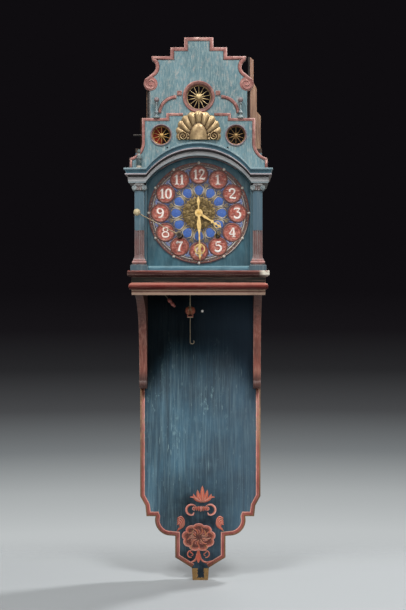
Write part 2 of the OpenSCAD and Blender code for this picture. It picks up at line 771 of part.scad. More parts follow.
module back_plate() color("#c9a85c") board(back_plate_y, plate_t) difference() {
    plate_outline();
    translate([0, dial_z]) circle(r = pivot_r + run_gap, $fn = 24);
    for (s = [-1, 1]) translate([s * wind_x, wind_z]) circle(r = pivot_r + run_gap, $fn = 24);
}

module plate_pillars() color("#c9a85c") both_sides() for (z = pillar_heights) {
    rod(pillar_x, z, plate_in_y, front_plate_y, pillar_r);
    for (y = [plate_in_y, front_plate_y + 3]) rod(pillar_x, z, y, y - 3, pillar_r + 1.6);
}

// Going side: great wheel, centre arbor, third wheel, escape wheel, pallets and pendulum
great_angle = atan2(wind_drop, -wind_x);

module going_great_wheel() color("#c9a85c") plate_at(wind_x, wind_z, going_great_y, wheel_t)
    crossed_wheel(great_teeth, great_m, great_angle, 5, barrel_arbor_r + run_gap);

module centre_wheel() color("#c9a85c") {
    rod(0, dial_z, plate_in_y - skin_gap, front_plate_y + skin_gap, hand_arbor_r);
    rod(0, dial_z, back_plate_y, plate_in_y - 1, pivot_r);
    rod(0, dial_z, front_plate_y + 1, nut_y + 0.6, arbor_r);
    plate_at(0, dial_z, centre_y, wheel_t) crossed_wheel(centre_teeth, centre_m, third_angle, 4, hand_arbor_r);
    plate_at(0, dial_z, going_great_y + 2, wheel_t + 4)
        pinion_shape(centre_leaves, great_m, great_angle + 180 + 180 / centre_leaves);
}

escape_angle = atan2(escape_z - third_z, escape_x - third_x);

module third_wheel() color("#c9a85c") {
    arbor(third_x, third_z);
    plate_at(third_x, third_z, third_y, wheel_t) crossed_wheel(third_teeth, third_m, escape_angle, 4, arbor_r);
    plate_at(third_x, third_z, centre_y + 2, wheel_t + 4)
        pinion_shape(third_leaves, centre_m, third_angle + 180 + 180 / third_leaves);
}

// Escape teeth lean the way the wheel turns
module escape_wheel() color("#c9a85c") {
    arbor(escape_x, escape_z);
    plate_at(escape_x, escape_z, third_y + 2, wheel_t + 4)
        pinion_shape(escape_leaves, third_m, escape_angle + 180 + 180 / escape_leaves);
    plate_at(escape_x, escape_z, escape_y, wheel_t) difference() {
        polygon([for (i = [0:escape_teeth - 1], k = [[0, escape_r - 4], [0.5, escape_r], [0.62, escape_r], [0.7, escape_r - 4]])
            let (a = -360 / escape_teeth * (i + k[0])) [k[1] * cos(a), k[1] * sin(a)]]);
        for (i = [0:3]) rotate(45 + 90 * i) translate([7.5, 0]) circle(r = 3.6, $fn = 24);
        circle(r = arbor_r);
    }
}

// Anchor: an arch over the escape wheel whose two pallets stop just short of its teeth
module pallets() color("#9a9ea3") {
    rod(escape_x, pallet_z, plate_in_y - skin_gap, front_plate_y + skin_gap, arbor_r);
    rod(escape_x, pallet_z, pendulum_y - pendulum_hub, plate_front_y, pivot_r);
    board(escape_y, wheel_t) difference() {
        union() {
            intersection() {
                translate([escape_x, escape_z]) circle(r = escape_r + 7);
                translate([escape_x, escape_z]) polygon([[0, 0], [40, 20], [40, 60], [-40, 60], [-40, 20]]);
            }
            translate([escape_x - 3.5, escape_z + escape_r + 5]) square([7, pallet_z - escape_z - escape_r - 5]);
            translate([escape_x, pallet_z]) circle(r = 5);
        }
        translate([escape_x, escape_z]) circle(r = escape_r + 3.6);
        translate([escape_x, pallet_z]) circle(r = arbor_r);
    }
    for (s = [-1, 1]) board(escape_y, wheel_t) translate([escape_x, escape_z]) rotate(90 - s * 58)
        translate([escape_r + pallet_clear, -1.2]) square([4.5, 2.4]);
}

module pendulum() color("#9a9ea3") {
    bob_z = pallet_z - pendulum_len;
    rod(escape_x, pallet_z, pendulum_y, pendulum_y - pendulum_hub, 4.5);
    translate([escape_x, pendulum_y - pendulum_hub / 2, bob_z]) {
        cylinder(r = 1.3, h = pendulum_len);
        rotate([90, 0, 0]) rotate_extrude() polygon([[0, -4], [14, -3.2], [20, -1.2], [20, 1.2], [14, 3.2], [0, 4]]);
        translate([0, 0, -25]) cylinder(r = 1.3, h = 25);
    }
}

// Motion work behind the dial. The cannon pinion slips on the centre arbor, so the hands can be set.
module cannon_pinion() color("#c9a85c") {
    plate_at(0, dial_z, cannon_y, cannon_y - nut_y) difference() {
        circle(r = hand_arbor_r);
        circle(r = arbor_r + run_gap);
    }
    plate_at(0, dial_z, cannon_y, 4) difference() {
        pinion_shape(cannon_leaves, motion_m, motion_angle + 180 / cannon_leaves);
        circle(r = arbor_r + run_gap);
    }
    rod(0, dial_z, nut_y, nut_y - 2, 4.2);
    rod(0, dial_z, nut_y - 2, nut_y - 3.2, 2.2);
}

module hour_wheel() color("#c9a85c") {
    plate_at(0, dial_z, hour_wheel_y, wheel_t) difference() {
        wheel_shape(hour_teeth, motion_m, motion_angle);
        circle(r = hand_arbor_r + run_gap);
    }
    plate_at(0, dial_z, hour_wheel_y - wheel_t, hour_wheel_y - wheel_t - hour_y + hand_t + 0.6) difference() {
        circle(r = pipe_r);
        circle(r = hand_arbor_r + run_gap);
    }
}

module minute_wheel() color("#c9a85c") {
    plate_at(motion_x, motion_z, cannon_y, wheel_t) difference() {
        wheel_shape(minute_teeth, motion_m, motion_angle + 180);
        circle(r = stud_r + run_gap, $fn = 24);
    }
    plate_at(motion_x, motion_z, cannon_y - wheel_t, 6.5) difference() {
        pinion_shape(minute_leaves, motion_m, motion_angle + 180 + 180 / minute_leaves);
        circle(r = stud_r + run_gap, $fn = 24);
    }
}

// Hands: the right-hand half of each is drawn pointing up, mirrored, and turned to the time
module minute_hand() color("#d1b36a") plate_at(0, dial_z, minute_y, hand_t) rotate(-minute_angle) difference() {
    lyre = minute_len - 26;
    right = concat([[0.3, -39.5], [4, -26], [1.6, -16]], arc(0, 0, 9.3, -80, 75, 14), [[5.3, 27], [2, 48]],
        arc(0, lyre, 12.5, -82, 82, 16), [[3, minute_len - 9], [0.3, minute_len]]);
    polygon(concat(right, reversed(mirrored(right))));
    lyre_openings(lyre, 12.5);
    circle(r = hand_arbor_r);
}

// A hand's lyre is a disc pierced by two crescents, one on each side of the stem
module lyre_openings(at, r) for (s = [-1, 1]) translate([0, at]) scale([s, 1])
    polygon(concat(arc(0, 0, r * 0.78, -78, 78, 12), arc(r * 0.62, 0, r * 0.42, 115, 245, 8)));

module hour_hand() color("#d1b36a") plate_at(0, dial_z, hour_y, hand_t) rotate(-hour_angle) difference() {
    lyre = hour_len - 11;
    right = concat(arc(0, 0, 8.2, -88, 74, 14), [[3, 18], [1.3, 34], [5, 37], [1.4, 40]],
        arc(0, lyre, 8, -81, 81, 12), [[2.4, hour_len - 2], [0.3, hour_len]]);
    polygon(concat(right, reversed(mirrored(right))));
    lyre_openings(lyre, 8);
    circle(r = pipe_r);
}

// Winding barrel: drum, two flanges, ratchet and the arbor that ends in a square
module barrel(x) {
    rod(x, wind_z, plate_in_y - skin_gap, plate_front_y - 4, barrel_arbor_r);
    rod(x, wind_z, back_plate_y, plate_in_y - 1, pivot_r);
    plate_at(x, wind_z, plate_front_y - 4, 10) rotate(45) square(square_side, center = true);
    rod(x, wind_z, drum_back_y, drum_front_y, drum_r);
    for (y = [drum_back_y, drum_front_y + 2]) rod(x, wind_z, y, y - 2, drum_r + 2.6);
    plate_at(x, wind_z, drum_back_y + 2, 2)
        polygon([for (i = [0:23], k = [[0, drum_r - 2.5], [0.05, drum_r + 0.5]])
            let (a = 15 * (i + k[0])) [k[1] * cos(a), k[1] * sin(a)]]);
}

module right_barrel() color("#c9a85c") barrel(wind_x);

module left_barrel() color("#c9a85c") barrel(-wind_x);

// Winding crank: a pipe on the square, a thin arm, and a turned knob toward the hand
module winding_crank() color("#a9a08c") {
    plate_at(-wind_x, wind_z, plate_front_y - 6, plate_front_y - 6 - crank_y - 3) difference() {
        circle(r = crank_pipe_r);
        rotate(45) square(square_side + 0.1, center = true);
    }
    rod(-wind_x, wind_z, crank_y + 3, crank_y - 5, crank_pipe_r + 1.2);
    translate([-wind_x, crank_y, wind_z]) rotate([0, 90 - crank_angle, 0]) {
        cylinder(r1 = 3.6, r2 = crank_rod / 2 + 0.4, h = 14);
        cylinder(r = crank_rod / 2, h = crank_arm);
    }
    rod(knob_x, knob_z, crank_y + 2.4, crank_y - 8, 2.2);
    translate([knob_x, crank_y - 12, knob_z]) sphere(r = knob_r);
}

// Striking side
module strike_great_wheel() color("#c9a85c") plate_at(-wind_x, wind_z, strike_great_y, wheel_t)
    crossed_wheel(great_teeth, great_m, pin_angle, 5, barrel_arbor_r + run_gap);

module pin_wheel() color("#c9a85c") {
    arbor(pin_x, pin_z);
    plate_at(pin_x, pin_z, strike_great_y + 2, wheel_t + 4)
        pinion_shape(pin_leaves, great_m, pin_angle + 180 + 180 / pin_leaves);
    plate_at(pin_x, pin_z, pin_wheel_y, wheel_t) crossed_wheel(pin_teeth, fly_m, fly_angle, 4, arbor_r);
    for (i = [0:7]) rod(pin_x + 22.6 * cos(45 * i), pin_z + 22.6 * sin(45 * i), pin_wheel_y - wheel_t,
        pin_wheel_y - wheel_t - 5, 1.1);
}

// Fly: two vanes on the last arbor, which brake the striking
module fly() color("#c9a85c") {
    arbor(fly_x, fly_z);
    plate_at(fly_x, fly_z, pin_wheel_y + 2, wheel_t + 4)
        pinion_shape(fly_leaves, fly_m, fly_angle + 180 + 180 / fly_leaves);
    translate([fly_x, 0, fly_z]) rotate([0, 35, 0]) box([-18, front_plate_y + 4, -0.6], [18, front_plate_y + 16, 0.6]);
}

// Bells on one post: each sits with its crown on a collar and is open below
module bell_shell(r, h) rotate_extrude($fn = 64) polygon(concat(
    [for (i = [0:10]) [crown_r + (r - crown_r) * pow(cos(9 * i), 0.55), h * i / 10]],
    [[stand_r, h], [stand_r, h - bell_wall]],
    reversed([for (i = [0:10]) [crown_r + (r - bell_wall - crown_r) * pow(cos(9 * i), 0.55), (h - bell_wall) * i / 10]])));

module large_bell() color("#b89a5a") translate([0, bell_y, bell_z]) bell_shell(bell_r, bell_h);

module small_bell() color("#b89a5a") translate([0, bell_y, small_bell_z]) bell_shell(small_bell_r, small_bell_h);

// Bell stand: post with two collars, and a bar on the roof that carries both hammer pivots
module bell_stand() color("#7d7f80") {
    translate([0, bell_y, roof_top]) cylinder(r = 12, h = 5);
    translate([0, bell_y, roof_top]) cylinder(r = stand_r, h = small_bell_z + small_bell_h + 8 - roof_top);
    for (z = [bell_z + bell_h, small_bell_z + small_bell_h])
        translate([0, bell_y, z - bell_wall - 4]) cylinder(r = 6, h = 4);
    for (z = [bell_z + bell_h, small_bell_z + small_bell_h])
        translate([0, bell_y, z]) cylinder(r = 5.5, h = 4, $fn = 6);
    box([-hammer_x - 6, bell_y - 8, roof_top], [hammer_x + 6, bell_y + 8, roof_top + 2]);
    both_sides() {
        for (y = [bell_y - 8, bell_y + 6]) box([hammer_x - 4, y, roof_top], [hammer_x + 4, y + 2, hammer_z + 4]);
        rod(hammer_x, hammer_z, bell_y + 6, bell_y - 6, hammer_pin_r);
    }
}

// Hammer: hub on its pivot, a stem up to the head beside the bell's rim, and a short lifting tail
module hammer(side, bell_edge, head_z) {
    head_x = bell_edge + 1 + head_len;
    difference() {
        union() {
            rod(side * hammer_x, hammer_z, bell_y + 5, bell_y - 5, 4);
            board(bell_y + 1.2, 2.4) polygon([[side * (hammer_x - 2), hammer_z], [side * (head_x - 3), head_z],
                [side * (head_x - 0.5), head_z], [side * (hammer_x + 2), hammer_z]]);
            board(bell_y + 1.2, 2.4) polygon([[side * hammer_x, hammer_z + 1.5], [side * hammer_x, hammer_z - 1.5],
                [side * (hammer_x + 16), hammer_z - 1.2], [side * (hammer_x + 16), hammer_z + 1.2]]);
        }
        rod(side * hammer_x, hammer_z, bell_y + 6, bell_y - 6, hammer_pin_r + run_gap);
    }
    translate([side * (bell_edge + 1), bell_y, head_z]) rotate([0, side * 90, 0]) cylinder(r = 4.5, h = head_len);
}

module large_bell_hammer() color("#8c8f92") hammer(-1, bell_r, bell_z + 5);

module small_bell_hammer() color("#8c8f92") hammer(1, small_bell_r, small_bell_z + 5);

// Pulley on the winding line, with its sheave on a pin along X and a wire hook below
module pulley_block() color("#9a6f4a") {
    for (s = [-1, 1]) along_x(line_x + s * (cheek_gap + cheek_t) / 2 - cheek_t / 2,
        line_x + s * (cheek_gap + cheek_t) / 2 + cheek_t / 2) {
        translate([pulley_y, pulley_z]) circle(r = 8.5);
        translate([pulley_y - 4.5, pulley_z - 13]) square([9, 13]);
    }
    box([line_x - cheek_gap / 2, pulley_y - 4.5, pulley_z - 17], [line_x + cheek_gap / 2, pulley_y + 4.5, pulley_z - 13]);
    for (s = [-1, 1]) box([line_x + s * (cheek_gap / 2 + cheek_t / 2) - cheek_t / 2, pulley_y - 4.5, pulley_z - 17],
        [line_x + s * (cheek_gap / 2 + cheek_t / 2) + cheek_t / 2, pulley_y + 4.5, pulley_z - 12]);
    translate([line_x - cheek_gap / 2, pulley_y, pulley_z]) rotate([0, 90, 0]) cylinder(r = pin_r, h = cheek_gap);
    translate([line_x, pulley_y, pulley_z]) rotate([0, 90, 0]) rotate([0, 0, -90]) rotate_extrude(angle = 180)
        translate([strand_r, 0]) circle(r = line_r, $fn = 16);
    translate([line_x, pulley_y, hook_z + hook_r]) cylinder(r = hook_wire, h = pulley_z - 17 - hook_z - hook_r, $fn = 20);
    translate([line_x + hook_r, pulley_y, hook_z + hook_r]) rotate([90, 0, 0]) rotate([0, 0, 180])
        rotate_extrude(angle = 230, $fn = 32) translate([hook_r, 0]) circle(r = hook_wire, $fn = 16);
}

module pulley_sheave() color("#8b6a45") translate([line_x, pulley_y, pulley_z]) rotate([0, 90, 0])
    rotate_extrude() polygon([[pin_r + run_gap, -sheave_w / 2], [sheave_r + 3.4, -sheave_w / 2],
        [sheave_r + 3.4, -line_r - 1.4], [sheave_r, -line_r - 0.2], [sheave_r, line_r + 0.2],
        [sheave_r + 3.4, line_r + 1.4], [sheave_r + 3.4, sheave_w / 2], [pin_r + run_gap, sheave_w / 2]]);

// Winding line: down from the drum, and up from the pulley to the seat board
module winding_line() color("#b8a98a") {
    translate([line_x, strand_a_y, pulley_z]) cylinder(r = line_r, h = wind_z - pulley_z, $fn = 16);
    translate([line_x, strand_b_y, pulley_z]) cylinder(r = line_r, h = seat_z - pulley_z, $fn = 16);
}

// Pull cord: it comes out of the shelf at a slant and ends in a turned wooden toggle
module toggle_axis() translate([toggle_x, pulley_y, shelf_z]) rotate([0, 180 - toggle_lean, 0]) children();

module pull_toggle() color("#a8554f") toggle_axis() {
    translate([0, 0, -(shelf_h - 6) / cos(toggle_lean)]) cylinder(r = cord_r, h = (shelf_h - 6) / cos(toggle_lean) + 12, $fn = 16);
    translate([0, 0, 11]) rotate_extrude($fn = 24) polygon([[0, 0], [2.4, 0], [4.6, 4], [4.9, 9], [3, 13],
        [4.6, 17], [4.2, 22], [2, 26], [0, 26]]);
}

backboard();
bracket_left();
bracket_right();
shelf_board();
shelf_moulding();
hood_side_left();
hood_side_right();
hood_front();
hood_roof();
cornice_left();
cornice_right();
arch_moulding();
pilaster_left();
pilaster_right();
capitals();
window_sill();
lower_crest();
upper_crest();
shell_ornament();
crest_mouldings();
sun_rosettes();
finials();
bell_side_left();
bell_side_right();
nails();
dial_board();
dial_plate();
numeral_cartouches();
dial_centre();
dial_feet();
seat_board();
front_plate();
back_plate();
plate_pillars();
bell_stand();
large_bell();
small_bell();
minute_hand();
cannon_pinion();
centre_wheel();
hour_hand();
hour_wheel();
minute_wheel();
going_great_wheel();
third_wheel();
escape_wheel();
pallets();
pendulum();
right_barrel();
left_barrel();
winding_crank();
strike_great_wheel();
pin_wheel();
fly();
large_bell_hammer();
small_bell_hammer();
pulley_block();
pulley_sheave();
winding_line();
pull_toggle();
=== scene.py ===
import math
import random

import bmesh
import bpy
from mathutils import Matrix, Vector


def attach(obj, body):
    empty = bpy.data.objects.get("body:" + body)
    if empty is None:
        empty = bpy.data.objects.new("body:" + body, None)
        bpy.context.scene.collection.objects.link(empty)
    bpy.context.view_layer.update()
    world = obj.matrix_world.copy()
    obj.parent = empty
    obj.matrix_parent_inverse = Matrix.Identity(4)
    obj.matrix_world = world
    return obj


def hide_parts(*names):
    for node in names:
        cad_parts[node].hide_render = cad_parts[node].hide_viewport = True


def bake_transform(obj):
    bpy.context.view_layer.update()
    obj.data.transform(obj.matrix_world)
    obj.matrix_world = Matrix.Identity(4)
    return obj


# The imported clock: a painted hood on a bracketed tail board, every piece in its place.
# Lengths below are millimetres in the clock's own frame, turned to metres when a mesh is made.
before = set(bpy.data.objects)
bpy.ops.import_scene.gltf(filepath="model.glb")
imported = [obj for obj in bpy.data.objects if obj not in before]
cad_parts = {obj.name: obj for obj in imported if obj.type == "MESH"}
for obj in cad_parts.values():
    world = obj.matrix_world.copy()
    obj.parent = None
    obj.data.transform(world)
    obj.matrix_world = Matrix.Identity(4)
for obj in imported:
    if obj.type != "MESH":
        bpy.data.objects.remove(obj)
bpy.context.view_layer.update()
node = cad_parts
MM = 0.001
shelf_underside = -370.0

# Camera at the photograph's angle: level with the shelf, 77 mm to the right of the middle and 2.35 m
# in front of the hood, with the small shift of the photograph's frame.
camera_data = bpy.data.cameras.new("camera")
camera_data.sensor_width = 36
camera_data.lens = 60.3
camera_data.shift_x = -0.0475
camera_data.shift_y = -0.0164
camera = bpy.data.objects.new("camera", camera_data)
camera.location = (0.0768, -2.496, shelf_underside * MM)
camera.rotation_euler = (math.radians(90), 0, 0)
bpy.context.scene.collection.objects.link(camera)
bpy.context.scene.camera = camera
bpy.context.scene.view_settings.view_transform = "Standard"


# Winding line: a thin twisted cord of three strands. It comes down from the drum, passes under the
# sheave and goes up to the seat board.
def linear(code):
    """A colour written as on a paint card, rrggbb, as the linear values that Blender takes."""
    parts = [int(code[i:i + 2], 16) / 255 for i in (0, 2, 4)]
    return tuple(p / 12.92 if p <= 0.04045 else ((p + 0.055) / 1.055) ** 2.4 for p in parts) + (1.0,)


class Finish:
    """A procedural finish: its material, its shader, and short ways to add and join nodes."""

    def __init__(self, name, colour, roughness=0.5, metallic=0.0):
        self.material = bpy.data.materials.new(name)
        self.material.use_nodes = True
        self.tree = self.material.node_tree
        self.shader = self.tree.nodes["Principled BSDF"]
        self.shader.inputs["Base Color"].default_value = linear(colour)
        self.shader.inputs["Roughness"].default_value = roughness
        self.shader.inputs["Metallic"].default_value = metallic
        self.place = self.add("TexCoord").outputs["Object"]

    def add(self, kind, sockets=None, **settings):
        made = self.tree.nodes.new("ShaderNode" + kind)
        for key, value in settings.items():
            setattr(made, key, value)
        for key, value in (sockets or {}).items():
            if isinstance(value, bpy.types.NodeSocket):
                self.tree.links.new(value, made.inputs[key])
            else:
                made.inputs[key].default_value = value
        return made

    def noise(self, scale, detail=3.0, rough=0.55, stretch=None, **settings):
        """Noise over the piece. stretch draws it out along the axes with the smaller numbers."""
        place = self.place
        if stretch:
            place = self.add("Mapping", {"Vector": place, "Scale": stretch}).outputs["Vector"]
        return self.add("TexNoise", {"Vector": place, "Scale": scale, "Detail": detail, "Roughness": rough},
                        **settings).outputs["Fac"]

    def ramp(self, value, *stops, smooth=True):
        """A ramp of (position, colour code or grey level)."""
        made = self.add("ValToRGB", {"Fac": value})
        made.color_ramp.interpolation = "LINEAR" if smooth else "CONSTANT"
        while len(made.color_ramp.elements) < len(stops):
            made.color_ramp.elements.new(0.5)
        for element, (at, tone) in zip(made.color_ramp.elements, stops):
            element.position = at
            element.color = linear(tone) if isinstance(tone, str) else (tone, tone, tone, 1)
        return made.outputs["Color"]

    def mix(self, share, low, high, blend="MIX"):
        """Mixes two colours, each a socket or a colour code, by a share."""
        made = self.add("Mix", data_type="RGBA", blend_type=blend)
        for index, value in ((0, share), (6, low), (7, high)):
            if isinstance(value, bpy.types.NodeSocket):
                self.tree.links.new(value, made.inputs[index])
            else:
                made.inputs[index].default_value = linear(value) if isinstance(value, str) else value
        return made.outputs[2]

    def maths(self, kind, a, b=0.0):
        return self.add("Math", {0: a, 1: b}, operation=kind).outputs[0]

    def times(self, a, b):
        return self.maths("MULTIPLY", a, b)

    def span(self, value, start, end, **settings):
        """0 where a value is at start, 1 where it is at end, and in proportion between them."""
        made = self.add("MapRange", {"Value": value, "From Min": start, "From Max": end}, **settings)
        return made.outputs["Result"]

    def axes(self, vector=None):
        """The x, y and z of a vector, or of the place on the piece in metres."""
        return self.add("SeparateXYZ", {0: self.place if vector is None else vector}).outputs

    def facing(self):
        """The x, y and z of the way in which the surface faces."""
        return self.axes(self.add("NewGeometry").outputs["True Normal"])

    def edges(self, radius=1.2, low=0.9, high=0.995):
        """1 on the arrises and 0 on the flats, found by rounding the normals by a radius."""
        rounded = self.add("Bevel", {"Radius": radius * MM}, samples=4).outputs["Normal"]
        flat = self.add("NewGeometry").outputs["True Normal"]
        dot = self.add("VectorMath", {0: rounded, 1: flat}, operation="DOT_PRODUCT").outputs["Value"]
        return self.span(dot, high, low)

    def bump(self, height, depth, radius=0.6):
        """Bump of a depth in millimetres over arrises that are rounded by a radius."""
        rounded = self.add("Bevel", {"Radius": radius * MM}, samples=4).outputs["Normal"]
        made = self.add("Bump", {"Height": height, "Normal": rounded, "Strength": 1.0,
                                 "Distance": depth * MM})
        self.tree.links.new(made.outputs["Normal"], self.shader.inputs["Normal"])

    def use(self, socket, value):
        self.tree.links.new(value, self.shader.inputs[socket])

    def dress(self, *objects):
        for o in objects:
            o.data.materials.clear()
            o.data.materials.append(self.material)
        return self


def mesh_piece(name, points, faces, *finishes, smooth=False, face_finish=None):
    """A new object from points in millimetres."""
    data = bpy.data.meshes.new(name)
    data.from_pydata([tuple(c * MM for c in p) for p in points], [], faces)
    data.update()
    made = bpy.data.objects.new(name, data)
    bpy.context.scene.collection.objects.link(made)
    for finish in finishes:
        data.materials.append(finish.material)
    if face_finish:
        data.polygons.foreach_set("material_index", face_finish)
    tidy = bmesh.new()
    tidy.from_mesh(data)
    bmesh.ops.recalc_face_normals(tidy, faces=tidy.faces)
    tidy.to_mesh(data)
    tidy.free()
    data.polygons.foreach_set("use_smooth", [smooth] * len(data.polygons))
    return made


def twisted_cord(name, start, end, radius, finish, lay=7.0):
    """Three strands laid round each other from start to end."""
    points, faces = [], []
    start, run = Vector(start), Vector(end) - Vector(start)
    way = run.normalized()
    across = way.orthogonal().normalized()
    aside = way.cross(across)
    steps = max(12, int(run.length / 0.9))
    strand, sides = radius * 0.54, 6
    for k in range(3):
        first = len(points)
        for i in range(steps + 1):
            turn = 2 * math.pi * (k / 3 + run.length * i / steps / lay)
            out = across * math.cos(turn) + aside * math.sin(turn)
            centre = start + run * (i / steps) + (radius - strand) * out
            for j in range(sides):
                a = 2 * math.pi * j / sides
                points.append(centre + strand * (across * math.cos(a) + aside * math.sin(a)))
        for i in range(steps):
            for j in range(sides):
                a, b = first + i * sides + j, first + i * sides + (j + 1) % sides
                faces.append((a, b, b + sides, a + sides))
        faces.append(tuple(first + j for j in range(sides)))
        faces.append(tuple(first + steps * sides + j for j in range(sides)))
    return mesh_piece(name, points, faces, finish, smooth=True)


line_x, line_front, line_back, line_radius = -22.2, -82.5, -65.5, 1.0
winding_z, pulley_height, seat_height = -233.2, -407.0, -304.0
cord_finish = Finish("line_cord", "b3a483", 0.85)
cord_finish.use("Base Color", cord_finish.mix(cord_finish.noise(90, 4), "6f6350", "c9bb9a"))
cord_finish.bump(cord_finish.noise(2600, 3), 0.15, 0.1)
for name, y, top in (("line_from_drum", line_front, winding_z), ("line_to_seat", line_back, seat_height)):
    fall = twisted_cord(name, (line_x, y, top), (line_x, y, pulley_height), line_radius, cord_finish)
    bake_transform(fall)
    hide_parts("winding_line")


# Pull cord: a thin twisted cord that leaves the shelf at a slant and ends inside a toggle turned from
# red wood, with two swellings and a waist. Cord and toggle slide together along the cord's slant.
def lathe(name, base, way, profile, finish, sides=40):
    """A turned piece: its profile of (radius, distance) runs along way from base."""
    base, way = Vector(base), Vector(way).normalized()
    across = way.orthogonal().normalized()
    aside = way.cross(across)
    turns = [2 * math.pi * j / sides for j in range(sides)]
    outward = [across * math.cos(a) + aside * math.sin(a) for a in turns]
    points = [base + way * at + r * out for r, at in profile for out in outward]
    faces = []
    for i in range(len(profile) - 1):
        for j in range(sides):
            a, b = i * sides + j, i * sides + (j + 1) % sides
            faces.append((a, b, b + sides, a + sides))
    return mesh_piece(name, points, faces, finish, smooth=True)


toggle_root, toggle_way = Vector((-82, -74, -370)), Vector((0.6428, 0, -0.766))
toggle_wood = Finish("toggle_wood", "8a3b33", 0.42)
toggle_grain = toggle_wood.noise(1, 4, stretch=(160, 160, 160))
toggle_wood.use("Base Color", toggle_wood.mix(toggle_grain, "5a241f", "b86a5c"))
toggle_wood.bump(toggle_wood.noise(350, 3), 0.15, 0.2)
pull_cord = twisted_cord("pull_cord", toggle_root - 65 * toggle_way, toggle_root + 12 * toggle_way, 1.0,
                         cord_finish)
toggle_profile = [(0.05, 0), (1.2, 0.1), (2.0, 0.6), (2.2, 1.2), (3.2, 2.2), (4.4, 3.6), (4.9, 5.6),
                  (4.7, 8), (3.9, 10.6), (3.0, 12.6), (2.8, 13.4), (3.3, 13.9), (4.1, 14.6), (4.5, 15.8),
                  (4.6, 17.4), (4.5, 19), (4.0, 20.4), (3.2, 21.4), (2.9, 22.0), (3.0, 22.8), (2.8, 24),
                  (2.2, 25.2), (1.2, 25.9), (0.05, 26)]
pull_knob = lathe("pull_knob", toggle_root + 11 * toggle_way, toggle_way, toggle_profile, toggle_wood)
for o, slot in ((pull_cord, "line_cord"), (pull_knob, "toggle_paint")):
    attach(o, "toggle")
    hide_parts("pull_toggle")


# Floor and light: a pale floor under the tail's tip, two high soft lights and a weak low one in front,
# a small one above that draws the tip's shadow, and a weak one behind. The ground is plain and darkens
# upward as in the photograph.
floor_finish = Finish("floor", "a6aaac", 0.75)
floor_data = bpy.data.meshes.new("floor")
floor_middle, floor_radius, floor_sides = Vector((0, 0.4, shelf_underside * MM - 0.692)), 2.6, 48
floor_points = [floor_middle]
for i in range(floor_sides):
    a = 2 * math.pi * i / floor_sides
    floor_points.append(floor_middle + floor_radius * Vector((math.cos(a), math.sin(a), 0)))
floor_faces = [(0, 1 + i, 1 + (i + 1) % floor_sides) for i in range(floor_sides)]
floor_data.from_pydata(floor_points, [], floor_faces)
floor_data.materials.append(floor_finish.material)
floor = bpy.data.objects.new("floor", floor_data)
bpy.context.scene.collection.objects.link(floor)
floor_tree = floor_finish.tree
depth = floor_finish.axes()["Y"]
behind = floor_finish.span(depth, 0.04, 0.42, interpolation_type="SMOOTHSTEP")
from_tip = floor_finish.add("VectorMath", {0: floor_finish.place, 1: floor_middle},
                            operation="DISTANCE").outputs["Value"]
away = floor_finish.span(from_tip, 1.2, 2.5)
fade = floor_finish.maths("MAXIMUM", behind, away)
see_through = floor_finish.add("BsdfTransparent")
blend_floor = floor_finish.add("MixShader", {0: fade, 1: floor_finish.shader.outputs[0],
                                             2: see_through.outputs[0]})
floor_tree.links.new(blend_floor.outputs[0], floor_tree.nodes["Material Output"].inputs["Surface"])


def soft_light(name, at, aim, size, watts):
    data = bpy.data.lights.new(name, "AREA")
    data.shape, data.size, data.energy = "SQUARE", size, watts
    lamp = bpy.data.objects.new(name, data)
    lamp.location = at
    lamp.rotation_euler = (Vector(aim) - Vector(at)).to_track_quat("-Z", "Y").to_euler()
    bpy.context.scene.collection.objects.link(lamp)


soft_light("right", (1.7, -2.8, 3.9), (0, 0, -0.45), 1.2, 164)
soft_light("left", (-1.7, -2.8, 3.9), (0, 0, -0.45), 1.2, 134)
soft_light("front", (0.1, -3.6, 0.6), (0, 0, -0.3), 1.4, 29)
soft_light("top", (1.5, 0.65, 2.1), (0, 0, -0.8), 0.28, 66)
soft_light("back", (0.8, 2.4, 1.2), (0, 0, -0.3), 1.4, 14)

world = bpy.data.worlds.new("studio")
bpy.context.scene.world = world
world.use_nodes = True
sky = world.node_tree


def sky_node(kind, *inputs, **settings):
    made = sky.nodes.new("ShaderNode" + kind)
    for key, value in settings.items():
        setattr(made, key, value)
    for index, value in enumerate(inputs):
        if isinstance(value, bpy.types.NodeSocket):
            sky.links.new(value, made.inputs[index])
        elif value is not None:
            made.inputs[index].default_value = value
    return made.outputs[0]


height = sky_node("SeparateXYZ", sky.nodes.new("ShaderNodeTexCoord").outputs["Generated"]).node.outputs["Z"]
tones = sky.nodes.new("ShaderNodeValToRGB")
sky.links.new(sky_node("MapRange", height, -0.30, 0.05), tones.inputs["Fac"])
stops = ((0.0, "c0c4c6"), (0.22, "bdc1c2"), (0.32, "a7abac"), (0.43, "74787a"), (0.54, "464749"),
         (0.65, "272729"), (0.76, "161417"), (0.87, "100e11"), (1.0, "0f0d10"))
while len(tones.color_ramp.elements) < len(stops):
    tones.color_ramp.elements.new(0.5)
for element, (at, tone) in zip(tones.color_ramp.elements, stops):
    element.position, element.color = at, linear(tone)
path_kind = sky.nodes.new("ShaderNodeLightPath").outputs
room = sky_node("MixShader", path_kind["Is Glossy Ray"], sky_node("Background", (1, 1, 1, 1), 0.03),
                sky_node("Background", (1, 0.97, 0.92, 1), 0.42))
seen = sky_node("Background", tones.outputs["Color"])
either = sky_node("Math", path_kind["Is Camera Ray"], path_kind["Is Transmission Ray"], operation="MAXIMUM")
sky.links.new(sky_node("MixShader", either, room, seen), sky.nodes["World Output"].inputs["Surface"])
